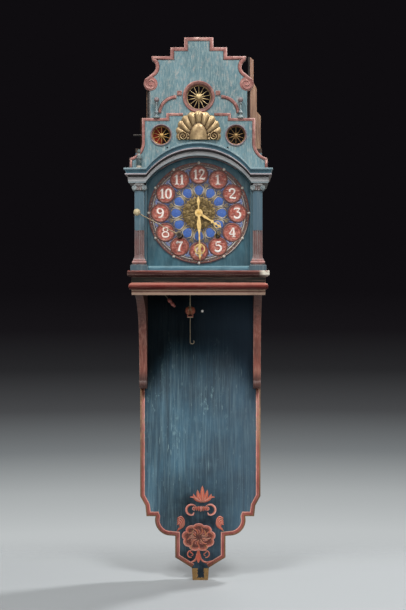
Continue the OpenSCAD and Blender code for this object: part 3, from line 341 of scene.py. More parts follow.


# Backboard: one long oak board with a painted face and bare edges and back. Long handling has
# rubbed it, so the paint is streaked along the grain and bare at the tip. Below the shelf its face
# is painted dark as painted shade of the shelf, reaching lower at the sides. Above the hood it is
# coloured near-black brown, bare wood with painted shade. Its ground is dark round the ornament
# of the tail.
def worn_paint(name, colour, dark, pale, streak=(300, 300, 9), edge_tone="8d7a66", gloss=0.42, fleck=0.5,
               strength=1.0):
    """Old oil paint on wood: drawn out streaks, patches, small pale flecks and rubbed arrises."""
    made = Finish(name, colour)
    patches = made.ramp(made.noise(9, 5, 0.6), (0.36, 0.0), (0.66, 0.85))
    tone = made.mix(patches, colour, dark)
    strokes = made.noise(1, 5, 0.65, stretch=streak)
    broad = made.noise(1, 4, 0.6, stretch=tuple(s * 0.3 for s in streak))
    tone = made.mix(made.ramp(strokes, (0.46, 0.0), (0.78, 0.42 * strength)), tone, pale)
    tone = made.mix(made.ramp(broad, (0.5, 0.0), (0.8, 0.6 * strength)), tone, dark)
    spots = made.times(made.ramp(made.noise(210, 2, 0.7), (0.68, 0.0), (0.74, 1.0)),
                       made.ramp(made.noise(23, 3, 0.6), (0.5, 0.0), (0.7, fleck)))
    tone = made.mix(spots, tone, pale)
    rubbed = made.times(made.edges(1.3), made.ramp(made.noise(60, 4, 0.65), (0.4, 0.1), (0.62, 1.0)))
    tone = made.mix(rubbed, tone, edge_tone)
    made.tone = tone
    made.use("Base Color", tone)
    made.use("Roughness", made.ramp(strokes, (0.3, gloss + 0.18), (0.7, gloss)))
    made.bump(made.maths("ADD", strokes, made.times(made.noise(300, 3), 0.35)), 0.3)
    return made


class Relief:
    """Raised or painted work on an upright face: bands, strokes and domes drawn in x and z."""

    def __init__(self, face_y):
        self.face_y, self.points, self.faces, self.kinds = face_y, [], [], []

    def strip(self, rows, kind=0, closed=False):
        """Joins rows of (x, z, out) points into one skin."""
        first, wide = len(self.points), len(rows[0])
        kinds = kind if isinstance(kind, (list, tuple)) else [kind] * (wide - 1)
        self.points += [(x, self.face_y - out, z) for row in rows for x, z, out in row]
        for i in range(len(rows) - (0 if closed else 1)):
            a, b = first + i * wide, first + (i + 1) % len(rows) * wide
            for j in range(wide - 1):
                self.faces.append((a + j, b + j, b + j + 1, a + j + 1))
                self.kinds.append(kinds[j])
        if not closed and wide > 2:
            self.faces += [tuple(range(first, first + wide)),
                           tuple(range(first + (len(rows) - 1) * wide, first + len(rows) * wide))]
            self.kinds += [kinds[0], kinds[0]]
        return self

    def band(self, path, section, kind=0, closed=False):
        """Sweeps a section of (distance to the left, out) along a path, mitred at its corners."""
        rows, count = [], len(path)
        for i, (x, z) in enumerate(path):
            before = path[i - 1] if i or closed else None
            after = path[(i + 1) % count] if i < count - 1 or closed else None
            normals = []
            for a, b in ((before, (x, z)), ((x, z), after)):
                if a and b:
                    run = math.hypot(b[0] - a[0], b[1] - a[1]) or 1.0
                    normals.append((-(b[1] - a[1]) / run, (b[0] - a[0]) / run))
            nx, nz = sum(n[0] for n in normals), sum(n[1] for n in normals)
            scale = (2.0 if len(normals) == 2 else 1.0) / max(nx * nx + nz * nz, 0.35)
            rows.append([(x + nx * scale * left, z + nz * scale * left, out) for left, out in section])
        return self.strip(rows, kind, closed)

    def turned(self, x, z, profile, steps, kind=0):
        """A turned form about a middle, from its profile of (radius, out)."""
        turns = [2 * math.pi * i / steps for i in range(steps)]
        rows = [[(x + r * math.cos(a), z + r * math.sin(a), out) for r, out in profile] for a in turns]
        return self.strip(rows, kind, closed=True)

    def stroke(self, path, widths, out=0.5, kind=0, steps=5, base=0.05):
        """A brush stroke along a smooth curve. widths are given at its start, middle and end."""
        line = smooth(path, steps)
        rows = []
        for i, (x, z) in enumerate(line):
            u = i / (len(line) - 1)
            shares = ((1 - u) * (1 - 2 * u), 4 * u * (1 - u), u * (2 * u - 1))
            w = sum(width * share for width, share in zip(widths, shares)) / 2
            a, b = line[max(i - 1, 0)], line[min(i + 1, len(line) - 1)]
            run = math.hypot(b[0] - a[0], b[1] - a[1]) or 1.0
            nx, nz = -(b[1] - a[1]) / run, (b[0] - a[0]) / run
            w = max(w, 0.05)
            rows.append([(x + nx * w * s, z + nz * w * s, base + out * h)
                         for s, h in ((-1, 0), (-0.7, 0.7), (0, 1), (0.7, 0.7), (1, 0))])
        return self.strip(rows, kind)

    def piece(self, name, *finishes, smooth=True):
        made = mesh_piece(name, self.points, self.faces, *finishes, smooth=smooth, face_finish=self.kinds)
        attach(made, "case")
        return made


def arc(cx, cz, r, start, end, steps=12):
    return [(cx + r * math.cos(math.radians(start + (end - start) * i / steps)),
             cz + r * math.sin(math.radians(start + (end - start) * i / steps))) for i in range(steps + 1)]


def smooth(path, steps=5):
    """A smooth curve through the points of a path."""
    if len(path) < 3:
        return path
    ends = [path[0]] + list(path) + [path[-1]]
    line = []
    for i in range(1, len(ends) - 2):
        p, q, r, s = ends[i - 1:i + 3]
        for k in range(steps):
            t = k / steps
            line.append(tuple(0.5 * (2 * q[n] + (r[n] - p[n]) * t
                                     + (2 * p[n] - 5 * q[n] + 4 * r[n] - s[n]) * t * t
                                     + (3 * q[n] - p[n] - 3 * r[n] + s[n]) * t ** 3) for n in (0, 1)))
    return line + [path[-1]]


board_finish = worn_paint("backboard_paint", "43697d", "273c49", "85a3ab", streak=(330, 330, 12),
                          fleck=1.0, strength=1.6)
position = board_finish.axes()
low = board_finish.span(position["Z"], -0.785, -0.875)
from_middle = board_finish.maths("ABSOLUTE", position["X"])
middle = board_finish.span(from_middle, 0.105, 0.03)
ground = board_finish.times(board_finish.times(low, middle),
                            board_finish.ramp(board_finish.noise(30, 4), (0.3, 0.55), (0.6, 1.0)))
scuffed = board_finish.span(position["Z"], -0.80, -0.62)
strokes = board_finish.ramp(board_finish.noise(1, 5, 0.75, stretch=(95, 95, 42)), (0.57, 0.0), (0.66, 0.75))
scuffs = board_finish.times(strokes, board_finish.ramp(board_finish.noise(11, 3), (0.42, 0.0), (0.6, 1.0)))
tone = board_finish.mix(board_finish.times(scuffs, scuffed), board_finish.tone, "8fb2b6")
scratches = board_finish.ramp(board_finish.noise(1, 2, 0.5, stretch=(420, 420, 26)), (0.70, 0.0), (0.74, 0.8))
tone = board_finish.mix(scratches, tone, "9dbbbd")
tone = board_finish.mix(ground, tone, "0f191f")
# Painted shade of the shelf: the face goes near-black below the shelf, further down towards the sides.
beyond = board_finish.maths("MAXIMUM", board_finish.maths("ADD", from_middle, -0.07), 0.0)
lowered = board_finish.times(beyond, 1.4)
painted_shelf_shade = board_finish.span(board_finish.maths("ADD", position["Z"], lowered), -0.60, -0.46,
                          interpolation_type="SMOOTHSTEP")
tone = board_finish.mix(board_finish.times(painted_shelf_shade, 0.96), tone, "05080b")
dulled = board_finish.maths("MAXIMUM", painted_shelf_shade, board_finish.times(ground, 0.6))
board_finish.use("Specular IOR Level", board_finish.ramp(dulled, (0.0, 0.5), (0.8, 0.03)))
right_side = board_finish.span(position["X"], -0.05, 0.13)
tone = board_finish.mix(board_finish.times(right_side, 0.5), tone, "3a4a5a")
facing = board_finish.facing()["Y"]
painted = board_finish.maths("LESS_THAN", facing, -0.5)
grain = board_finish.noise(1, 5, 0.6, stretch=(160, 160, 8))
# Above the hood, in the bell space, the face is coloured near-black brown: bare wood darkened as painted
# shade.
tone = board_finish.mix(board_finish.maths("GREATER_THAN", position["Z"], -0.034), tone, "241a14")
ragged = board_finish.times(board_finish.noise(190, 4, 0.7), 0.012)
off_middle = board_finish.maths("ABSOLUTE", board_finish.maths("ADD", position["X"], -0.001))
beside_tip = board_finish.maths("GREATER_THAN", board_finish.maths("ADD", off_middle, ragged), 0.0135)
bare_sides = board_finish.times(beside_tip, board_finish.maths("LESS_THAN", position["Z"], -1.033))
ragged_height = board_finish.maths("SUBTRACT", position["Z"], ragged)
bare_tip = board_finish.maths("MAXIMUM", bare_sides, board_finish.maths("LESS_THAN", ragged_height, -1.0615))
tone = board_finish.mix(bare_tip, tone, board_finish.mix(board_finish.noise(260, 4, 0.7), "3d2c1c", "b08a56"))
board_finish.use("Base Color", board_finish.mix(painted, board_finish.mix(grain, "4a3222", "8d6644"), tone))
board_finish.dress(node["backboard"])


# Tail border: a band of red paint round the tail with a pale line on its inner side, laid on thick
# enough to stand proud of the board. A thin edge of bare oak is left outside it.
tail_red = worn_paint("tail_red_paint", "9e4f45", "6a302a", "c9857a", streak=(150, 150, 40),
                      edge_tone="8a5a3c")
tail_pale = worn_paint("tail_pale_line", "ec9f90", "c4665a", "ffd0c4", streak=(150, 150, 40))
tail_edge = worn_paint("bare_oak", "7a5538", "4a3120", "a88058", edge_tone="8d6a48", gloss=0.6)
right_edge = [(146, -592), (146, -858), (133.5, -881), (130.7, -907), (109.2, -907)]
right_edge += arc(72, -916, 38, 13, -90, 12) + [(61, -955), (61, -1007), (20.7, -1032)]
board_front = -16.0
border = Relief(board_front)
for path, side in ((right_edge, -1), ([(-x, z) for x, z in right_edge], 1)):
    border.band(path, [(0.0, 0.03), (side * 0.4, 0.12), (side * 3.4, 0.12), (side * 3.6, 0.03)], 2)
    border.band(path, [(side * 3.2, 0.03), (side * 4.2, 0.45), (side * 6.8, 0.7), (side * 9.6, 0.6),
                       (side * 11, 0.03)], 0)
    border.band(path, [(side * 9.0, 0.6), (side * 9.6, 0.85), (side * 10.6, 0.85), (side * 11.1, 0.03)], 1)
tail_border = border.piece("tail_border", tail_red, tail_pale, tail_edge)


# Tail ornament: painted with a full brush in orange, pale red and gold. A lotus stands over two scrolls,
# acanthus leaves rise at the sides, and a lobed medallion with a flower ends in two more scrolls.
tail_orange = worn_paint("tail_orange_paint", "d2664a", "9a3d2c", "ee9c7c", streak=(200, 200, 60))
tail_gold = worn_paint("tail_gold_line", "c9955a", "8e5a34", "e6c08a", streak=(200, 200, 60))
spray = Relief(board_front)
lotus_x, lotus_z = 5.0, -873.0
for tip_x, tip_z, width in ((5.0, -833, 10), (-7, -843, 9), (17, -843, 9), (-17, -853, 8), (27, -853, 8)):
    bend = (lotus_x + (tip_x - lotus_x) * 0.74, (tip_z + lotus_z - 3) / 2)
    spray.stroke([(lotus_x, lotus_z), bend, (tip_x, tip_z)], (2, width, 0.1), 0.8, 0)
    spray.stroke([(lotus_x, lotus_z + 1), bend, (tip_x, tip_z + 1.5)], (0.6, 1.6, 0.1), 1.2, 1)
for s in (-1, 1):
    leaf = [(lotus_x + s * out, lotus_z + up) for out, up in ((0, 0), (12, 6), (22, 12), (31, 12))]
    spray.stroke(leaf, (1.5, 5, 0.1), 0.7, 0)
    vein = [(lotus_x + s * out, lotus_z + up) for out, up in ((3, 2), (14, 8.5), (30, 12.6))]
    spray.stroke(vein, (0.3, 1.3, 0.1), 1.1, 1)
    cx = 1.2 + s * 22.7
    spray.stroke(arc(cx, -891.3, 13.2, 90 + s * 55, 90 - s * 205, 14), (1.0, 3.8, 2.2), 0.9, 1, steps=2)
    spray.stroke(arc(cx, -891.3, 11.0, 90 + s * 40, 90 - s * 190, 14), (0.6, 2.6, 0.6), 0.9, 0, steps=2)
    spray.stroke(arc(cx - s * 7, -888.6, 4.2, 90 + s * 60, 90 - s * 220, 9), (1.0, 2.2, 0.8), 1.0, 1, steps=2)
    spray.stroke([(cx - s * 2, -904), (cx - s * 5, -901), (cx - s * 5.5, -897.5)], (3.2, 3.4, 1), 1.0, 1)
for k in range(7):
    x = -14.5 + 5.2 * k
    petal = [(x, -882.5 - abs(k - 3) * 0.4), (x + 0.4, -889), (x, -896 + abs(k - 3) * 1.2)]
    spray.stroke(petal, (3.6, 4.6, 0.8), 1.0, 1 if k == 3 else 0)
    spray.stroke([(x - 1.2, -884), (x - 1.0, -893)], (0.8, 0.9, 0.3), 1.3, 1)
for s in (-1, 1):
    for k in range(4):
        leaf = [(s * (57 - k), -943 + 2.0 * k), (s * (41.5 + 2.6 * k), -931 - 1.5 * k),
                (s * (40.5 + 2.6 * k), -917 - 4.4 * k), (s * (47 + 1.4 * k), -908.4 - 5.0 * k),
                (s * (55.5 + 0.2 * k), -912.5 - 5.2 * k)]
        spray.stroke(leaf, (1.6, 4.8, 2.8), 1.0 - 0.1 * k, 0)
        spray.stroke([(x - s * 1.2, z + 0.8) for x, z in leaf[1:]], (0.4, 1.6, 1.0), 1.4 - 0.1 * k, 1)
medal_x, medal_z = -4.0, -958.2
lobes = []
for i in range(120):
    a = 2 * math.pi * i / 120
    swell = 0.86 + 0.14 * abs(math.cos(4.5 * (a - math.pi / 2))) ** 0.6
    lobes.append((medal_x + 40.5 * swell * math.cos(a), medal_z + 33.5 * swell * math.sin(a)))
spray.strip([[(medal_x + (x - medal_x) * t, medal_z + (z - medal_z) * t, 0.08) for t in (1.0, 0.5, 0.02)]
             for x, z in lobes], 4, closed=True)
spray.band(lobes, [(-0.7, 0.03), (0.3, 0.9), (1.3, 0.9), (2.2, 0.03)], 1, closed=True)
spray.band(lobes, [(1.8, 0.03), (2.8, 0.5), (4.2, 0.4), (5, 0.03)], 0, closed=True)
for i in range(18):
    a = math.radians(20 * i + 90)
    inner, outer = 7.5 if i % 2 else 11, 30 if i % 2 else 24
    root = (medal_x + inner * math.cos(a), medal_z + inner * 0.8 * math.sin(a))
    tip = (medal_x + outer * math.cos(a + 0.12), medal_z + outer * 0.82 * math.sin(a + 0.12))
    bend = (medal_x + (inner + outer) / 2 * math.cos(a - 0.16),
            medal_z + (inner + outer) / 2 * 0.82 * math.sin(a - 0.16))
    spray.stroke([root, bend, tip], (1.2, 4.6 if i % 2 else 3.6, 0.8), 0.8, 0 if i % 2 else 3)
    spray.stroke([root, bend, tip], (0.3, 1.1, 0.2), 1.2, 2 if i % 2 else 1)
for i in range(9):
    a = math.radians(40 * i + 90)
    spray.stroke([(medal_x + 31 * math.cos(a - 0.2), medal_z + 25.5 * math.sin(a - 0.2)),
                  (medal_x + 34.5 * math.cos(a), medal_z + 28 * math.sin(a)),
                  (medal_x + 31 * math.cos(a + 0.2), medal_z + 25.5 * math.sin(a + 0.2))],
                 (0.6, 2.6, 0.6), 0.8, 3)
for x, z, lean in ((-16, -940, -1), (9, -940, 1), (-19, -975, -1), (12, -975, 1)):
    spray.stroke([(x, z), (x + lean * 4, z - 8), (x + lean * 1, z - 16)], (0.8, 2.4, 0.4), 1.2, 2)
foot_x = -4.7
for s in (-1, 1):
    cx = foot_x + s * 16.9
    curl = arc(cx, -999.7, 3.4, 90 + s * 200, 90, 6)
    curl += arc(cx + s * 1.2, -999, 8.2, 90 - s * 20, 90 - s * 190, 10)
    spray.stroke(curl, (1.0, 3.2, 2.2), 1.0, 0)
    spray.stroke(arc(cx + s * 1.2, -999, 8.8, 90 + s * 40, 90 - s * 160, 10), (0.4, 1.3, 0.6), 1.4, 1)
    leaf = [(foot_x + s * out, z) for out, z in ((3, -998), (7, -1012), (20, -1019), (34, -1014))]
    spray.stroke(leaf, (3.5, 4.5, 0.8), 0.8, 0)
    vein = [(foot_x + s * out, z) for out, z in ((6, -1008), (12, -1016), (24, -1018))]
    spray.stroke(vein, (0.5, 1.3, 0.4), 1.2, 1)
spray.stroke([(foot_x, -989), (foot_x, -1003), (foot_x, -1020)], (3, 9, 2), 0.9, 0)
medal_ground = worn_paint("medallion_ground", "742a21", "3a1814", "b0603f", streak=(300, 300, 200))
tail_ornament = spray.piece("tail_ornament", tail_orange, tail_pale, tail_gold, tail_red, medal_ground)


# Brackets: two sawn oak boards fixed to the backboard's sides, with a scroll at either end, that carry
# the shelf. They are painted red and their arrises are rubbed pale. Just under the shelf they are
# painted dark as painted shade, and they are darker at their lower scrolls.
bracket_finish = worn_paint("bracket_paint", "9a5748", "4e2a24", "cf9a86", streak=(260, 260, 26),
                            edge_tone="cdb5a4", strength=1.6)
bracket_height = bracket_finish.axes()["Z"]
bracket_share = bracket_finish.span(bracket_height, -0.60, -0.36)
# Painted shade just under the shelf, and a darker lower scroll.
bracket_shade_and_dark_scroll = bracket_finish.ramp(bracket_share, (0.0, 0.75), (0.12, 0.75), (0.2, 0.0), (0.6, 0.0), (0.95, 0.75))
bracket_finish.use("Base Color", bracket_finish.mix(bracket_shade_and_dark_scroll, bracket_finish.tone, "2c1a16"))
bracket_finish.dress(node["bracket_left"], node["bracket_right"])


# Shelf: a moulding painted in red, olive and pale bands round a plank of bare oak, with its top front
# corner at the right worn to the gesso. The upper half of the ovolo and the top edge are painted pink
# as painted highlight, and a black band between the ovolo and the olive tier is painted shade. The
# hood's roof and the seat board are of the same old oak.
def banded_paint(name, low, high, *stops, wobble=0.25, dark="3a2420", pale="d0b7a8",
                 streak=(16, 260, 260), edge_tone="c9a698", strength=1.0, gloss=0.42):
    """Paint in bands by height, each (share of the height, colour), over the same worn ground."""
    made = Finish(name, stops[0][1])
    height = made.axes()["Z"]
    stray = made.times(made.maths("SUBTRACT", made.noise(150, 2), 0.5), wobble * 4 * MM)
    share = made.span(made.maths("ADD", height, stray), low * MM, high * MM)
    tone = made.ramp(share, *stops, smooth=False)
    strokes = made.noise(1, 5, 0.65, stretch=streak)
    tone = made.mix(made.ramp(strokes, (0.5, 0.0), (0.8, 0.5 * strength)), tone, pale)
    tone = made.mix(made.ramp(made.noise(28, 4, 0.65), (0.5, 0.0), (0.75, 0.55 * strength)), tone, dark)
    rubbed = made.times(made.edges(1.1), made.ramp(made.noise(60, 4, 0.65), (0.35, 0.15), (0.6, 0.9)))
    tone = made.mix(rubbed, tone, edge_tone)
    made.tone = tone
    made.use("Base Color", tone)
    made.use("Roughness", made.ramp(strokes, (0.3, gloss + 0.15), (0.7, gloss)))
    made.bump(made.maths("ADD", strokes, made.times(made.noise(320, 3), 0.4)), 0.3)
    return made


# Bands by height: the pink bands from 0.41 to 0.51 and at the top are painted highlight, and the black band
# at 0.51 is painted shade.
shelf_finish = banded_paint("shelf_paint", -370, -314, (0.0, "99806f"), (0.11, "55231c"),
                            (0.15, "a0856f"), (0.215, "4a0d06"), (0.34, "681a10"), (0.41, "a55e50"),
                            (0.465, "b8796b"), (0.51, "060403"), (0.56, "1b170c"), (0.735, "2a0a06"),
                            (0.86, "3a0d07"), (0.93, "4c1c15"), (0.965, "843f37"), pale="b08a78",
                            strength=0.8)
shelf_finish.shader.inputs["Specular IOR Level"].default_value = 0.22
corner = shelf_finish.axes()
at_corner = shelf_finish.times(shelf_finish.span(corner["X"], 0.138, 0.150),
                               shelf_finish.span(corner["Z"], -0.330, -0.321))
at_front = shelf_finish.span(corner["Y"], -0.138, -0.152)
at_corner = shelf_finish.times(at_corner, at_front)
gesso = shelf_finish.times(at_corner, shelf_finish.ramp(shelf_finish.noise(80, 4), (0.35, 0.2), (0.5, 1.0)))
shelf_finish.use("Base Color", shelf_finish.mix(gesso, shelf_finish.tone, "e6dfcd"))
shelf_finish.dress(node["shelf_moulding"])
dark_oak = worn_paint("dark_oak", "37281d", "1f1712", "5a4230", edge_tone="4a382a", gloss=0.6)
dark_oak.dress(node["shelf_board"], node["hood_roof"], node["seat_board"])


# Hood: oak sides and a front with an arched opening for the dial, painted deep blue and streaked down
# the grain, and a lighter sill under the opening with a pale upper edge.
hood_finish = worn_paint("hood_paint", "3a6472", "223d4a", "6d929b", streak=(200, 200, 14))
hood_finish.dress(node["hood_side_left"], node["hood_side_right"], node["hood_front"])
sill_finish = banded_paint("sill_paint", -314, -303, (0.0, "3b6a7c"), (0.5, "547f8d"), (0.66, "3a6778"),
                           (0.84, "86a8ae"), (0.93, "3f6c7c"), dark="27434e", pale="8fb0b4",
                           edge_tone="8faeb0")
sill_finish.dress(node["window_sill"])


# Cornice: a wooden moulding planted on the sides, the front and over the arch, its steps picked out in
# blue, grey, brown and pale paint, and its hollows painted dark as painted shade. It keeps its height
# upright all along, so the three solids of the construction are drawn here as one swept moulding.
cornice_profile = [(0, 0), (23.4, 0), (24, 0.7), (24, 3.2), (22.6, 4.0), (20.4, 6.0), (19.4, 8.6),
                   (19.6, 11.0), (20.0, 11.6), (21.6, 12.2), (22.0, 13.4), (21.2, 14.6), (17.4, 15.2),
                   (15.0, 16.4), (14.0, 18.8), (15.2, 19.4), (15.6, 20.4), (15.4, 22.2), (14.8, 24.0),
                   (14.6, 28.2), (14.2, 28.8), (14, 31), (0, 31)]
cornice_kinds = [0, 0, 0, 1, 1, 1, 1, 3, 2, 2, 2, 5, 3, 3, 4, 4, 4, 4, 4, 6, 6, 3]
hood_face, hood_side, cornice_top = -146.0, 146.0, -80.0
arch_middle, arch_radius = -171.0, 150.0
stations = [((-hood_side, y, cornice_top), (-1, 0)) for y in (-16.5, -40, -80, -120)]
stations += [((-hood_side, hood_face, cornice_top), (-1, -1))]
stations += [((x, hood_face, cornice_top), (0, -1)) for x in (-140, -130, -121)]
stations += [((x, hood_face, z), (0, -1)) for x, z in arc(0, arch_middle, arch_radius, 142.6, 37.4, 64)]
stations += [((x, hood_face, cornice_top), (0, -1)) for x in (121, 130, 140)]
stations += [((hood_side, hood_face, cornice_top), (1, -1))]
stations += [((hood_side, y, cornice_top), (1, 0)) for y in (-120, -80, -40, -16.5)]


def cornice_drop(drop, x):
    """The straight ends stand a little taller than the profile, and the arch has a narrower fascia."""
    if abs(x) >= 120:
        return drop * 1.077
    return drop * 1.09 if drop < 19 else 21.1 + (drop - 19.4) * 0.767


points = [(x + out * dx, y + out * dy, z - cornice_drop(drop, x))
          for (x, y, z), (dx, dy) in stations for out, drop in cornice_profile]
wide = len(cornice_profile)
faces, kinds = [], []
for i in range(len(stations) - 1):
    for j in range(wide - 1):
        faces.append((i * wide + j, (i + 1) * wide + j, (i + 1) * wide + j + 1, i * wide + j + 1))
        kinds.append(cornice_kinds[j])
    faces.append((i * wide + wide - 1, (i + 1) * wide + wide - 1, (i + 1) * wide, i * wide))
    kinds.append(3)
for i in (0, len(stations) - 1):
    faces.append(tuple(range(i * wide, (i + 1) * wide)))
    kinds.append(1)
# The recess tone is painted shade, laid in the moulding's hollows.
cornice_colours = (("edge", "75919a", "506b74", "b2c0bd", "c3ccc7"),
                   ("blue", "3f6b7c", "2a4957", "6f95a0", "8ba5a9"),
                   ("pale_line", "a79fa4", "777075", "d2cacc", "cfc6c9"),
                   ("painted_recess_shade", "2c2a2c", "1b1a1c", "5a5552", "5a5552"),
                   ("grey", "adaeaf", "7e7f81", "cbc9c7", "d3d0cd"),
                   ("brown_line", "604745", "3d2a29", "8a6a66", "8a6a66"),
                   ("frieze", "93a0a5", "65747a", "b3bcbe", "b9c0c0"))
cornice_tones = [worn_paint("cornice_" + part, tone, dark, pale, streak=(40, 200, 200), edge_tone=edge)
                 for part, tone, dark, pale, edge in cornice_colours]
cornice = mesh_piece("cornice", points, faces, *cornice_tones, face_finish=kinds)
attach(cornice, "case")
for name in ("cornice_left", "cornice_right", "arch_moulding"):
    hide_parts(name)


# Pilasters: flat columns planted on the hood's front, blue above and reddish in the fluted lower part,
# with pink bases on blue plinths. The right one is painted a darker blue above, as painted shade.
pilaster_finish = banded_paint("pilaster_paint", -314, -125, (0.0, "3f5661"), (0.062, "2c3d44"),
                               (0.075, "aa766f"), (0.135, "75544f"), (0.165, "75534f"), (0.487, "4c6a77"),
                               wobble=1.2, dark="3b4c55", pale="a5b1b0", streak=(240, 240, 12),
                               edge_tone="a9a4a0", strength=0.9)
shaft = pilaster_finish.axes()
# Painted shade: the right pilaster's upper part is darkened.
upper_right = pilaster_finish.times(pilaster_finish.maths("GREATER_THAN", shaft["X"], 0.0),
                                    pilaster_finish.maths("GREATER_THAN", shaft["Z"], -0.2215))
right_painted_shade = pilaster_finish.times(upper_right, 0.5)
pilaster_finish.use("Base Color", pilaster_finish.mix(right_painted_shade, pilaster_finish.tone, "2c4d5f"))
pilaster_finish.dress(node["pilaster_left"], node["pilaster_right"])


# Capitals: carved wood on the heads of the pilasters, right under the cornice. Each has two scrolls in
# front, two on its outer side and a fluted leaf between them. Near-black plates in the gaps beside its
# neck and a near-black band at the foot of its bell are painted shade.
capital_painted_shade = Finish("capital_painted_shade", "15171b", 0.7)
capital_leaf = worn_paint("capital_leaf", "74625f", "3f3130", "a3948d", streak=(300, 300, 40),
                          edge_tone="a3948d", strength=1.3)
capital_pale = worn_paint("capital_pale", "bfbdbb", "8b898b", "dedad6", streak=(120, 120, 120),
                          edge_tone="c6c2c0", strength=1.4)
capital_scroll = worn_paint("capital_scroll", "8b9799", "566266", "b7bdbc", streak=(120, 120, 120),
                            edge_tone="b3b9b8", strength=1.5)
# Heights, half widths and depths of a capital's bell and of the abacus over it.
bell_levels = ((-131, 9.6, 5.4), (-129.7, 9.6, 5.4), (-129.2, 10.2, 7.6), (-119.2, 9.4, 8.4),
               (-118.6, 11.0, 11.2), (-117.0, 11.2, 11.6), (-116.4, 9.6, 11.0), (-113.3, 9.6, 11.0))
pilaster_x, scroll_radius, scroll_height = 135.7, 5.9, -124.3


def scroll(work, x, z, way, depth):
    """A volute on a drum of a depth: its coil runs in from the bell's side to its eye."""
    drum = ((0.02, 0.05), (1.0, 0.05), (1.0, depth - 0.7), (0.92, depth), (0.02, depth - 0.3))
    work.turned(x, z, [(scroll_radius * t, out) for t, out in drum], 32, 3)
    coil = [(x - way * 6.5, z + 6.2), (x - way * 2.0, z + 5.3)]
    coil += [(x + way * r * math.cos(a), z + r * math.sin(a)) for r, a in
             ((5.0 - 3.9 * i / 22, math.radians(55 - 560 * i / 22)) for i in range(23))]
    work.stroke(coil, (1.3, 1.5, 0.9), 1.1, 3, steps=2, base=depth - 0.3)


carving = Relief(hood_face)
for side in (-1, 1):
    middle = side * pilaster_x
    carving.strip([[(middle - w, z, 0.05), (middle - w, z, out), (middle + w, z, out),
                    (middle + w, z, 0.05)] for z, w, out in bell_levels], [2, 2, 2])
    inner, outer = middle - side * 15.6, middle + side * 10.2
    # Near-black plate beside the neck: painted shade.
    carving.strip([[(inner, z, 0.05), (inner, z, 0.6), (outer, z, 0.6), (outer, z, 0.05)]
                   for z in (-118.4, -113.3)], 0)
    for k in (-1, 0, 1):
        x = middle + 5.6 * k
        carving.stroke([(x, -119.2), (x, -124.0), (x + 0.6 * k, -128.8)], (3.8, 5.0, 3.4), 1.7, 1, base=7.8)
    # Near-black band at the foot of the bell: painted shade.
    carving.strip([[(middle - 9.8, z, 6.0), (middle - 9.8, z, 6.9), (middle + 9.8, z, 6.9),
                    (middle + 9.8, z, 6.0)] for z in (-130.9, -129.3)], 0)
    for way in (-1, 1):
        scroll(carving, middle + way * 11.4, scroll_height, way, 10.4)
    flank = Relief(0.0)
    for along, way in ((-149.0, -1), (-135.0, 1)):
        scroll(flank, along, scroll_height, way, 5.2)
    first = len(carving.points)
    carving.points += [(side * (145.9 - y), x, z) for x, y, z in flank.points]
    carving.faces += [tuple(first + i for i in face) for face in flank.faces]
    carving.kinds += flank.kinds
capitals = carving.piece("carved_capitals", capital_painted_shade, capital_leaf, capital_pale, capital_scroll,
                         smooth=False)
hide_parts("capitals")


# Crests: two sawn boards, light blue, each with a raised pink border and, inside it, a dark line painted
# as the border's shadow. The upper one ends in a spiral scroll on either side. Low down it is red on
# the left and painted near-black elsewhere as painted shade, which shows through the round openings
# of the lower one.
def crest_paint(name, hidden_below=None):
    """Blue on the front of a crest board, pink on its edges and bare oak behind. Where a board is hidden
    below a height it is red on the left and painted near-black elsewhere as painted shade."""
    made = worn_paint(name, "6d8f98", "4d6f77", "b3c0b8", streak=(360, 360, 60), edge_tone="b79a8b",
                      strength=1.9, fleck=1.0)
    scoured = made.ramp(made.noise(1, 5, 0.75, stretch=(130, 130, 60)), (0.54, 0.0), (0.7, 0.7))
    made.tone = made.mix(scoured, made.tone, "b9aea4")
    front = made.facing()["Y"]
    oak = made.mix(made.noise(1, 5, 0.6, stretch=(160, 160, 8)), "3d291d", "94704f")
    tone = made.mix(made.maths("LESS_THAN", front, -0.5), "a06c62", made.tone)
    tone = made.mix(made.maths("GREATER_THAN", front, 0.5), tone, oak)
    if hidden_below is not None:
        place = made.axes()
        leftward = made.maths("ADD", made.times(place["X"], -10.0), made.times(made.noise(160, 3), 0.16))
        # Red on the left. The near-black elsewhere is painted shade behind the openings.
        red = made.mix(made.ramp(leftward, (0.88, 0.0), (0.98, 1.0)), "0b0706", "78271c")
        hidden = made.maths("LESS_THAN", place["Z"], hidden_below * MM)
        tone = made.mix(hidden, tone, red)
        made.use("Specular IOR Level", made.ramp(hidden, (0.0, 0.5), (1.0, 0.05)))
    made.use("Base Color", tone)
    return made


crest_paint("lower_crest_paint").dress(node["lower_crest"])
crest_paint("upper_crest_paint", hidden_below=36).dress(node["upper_crest"])
pink = worn_paint("pink_moulding_paint", "ac6e66", "78463f", "d39d91", streak=(120, 120, 120),
                  edge_tone="cfa296", strength=1.6)
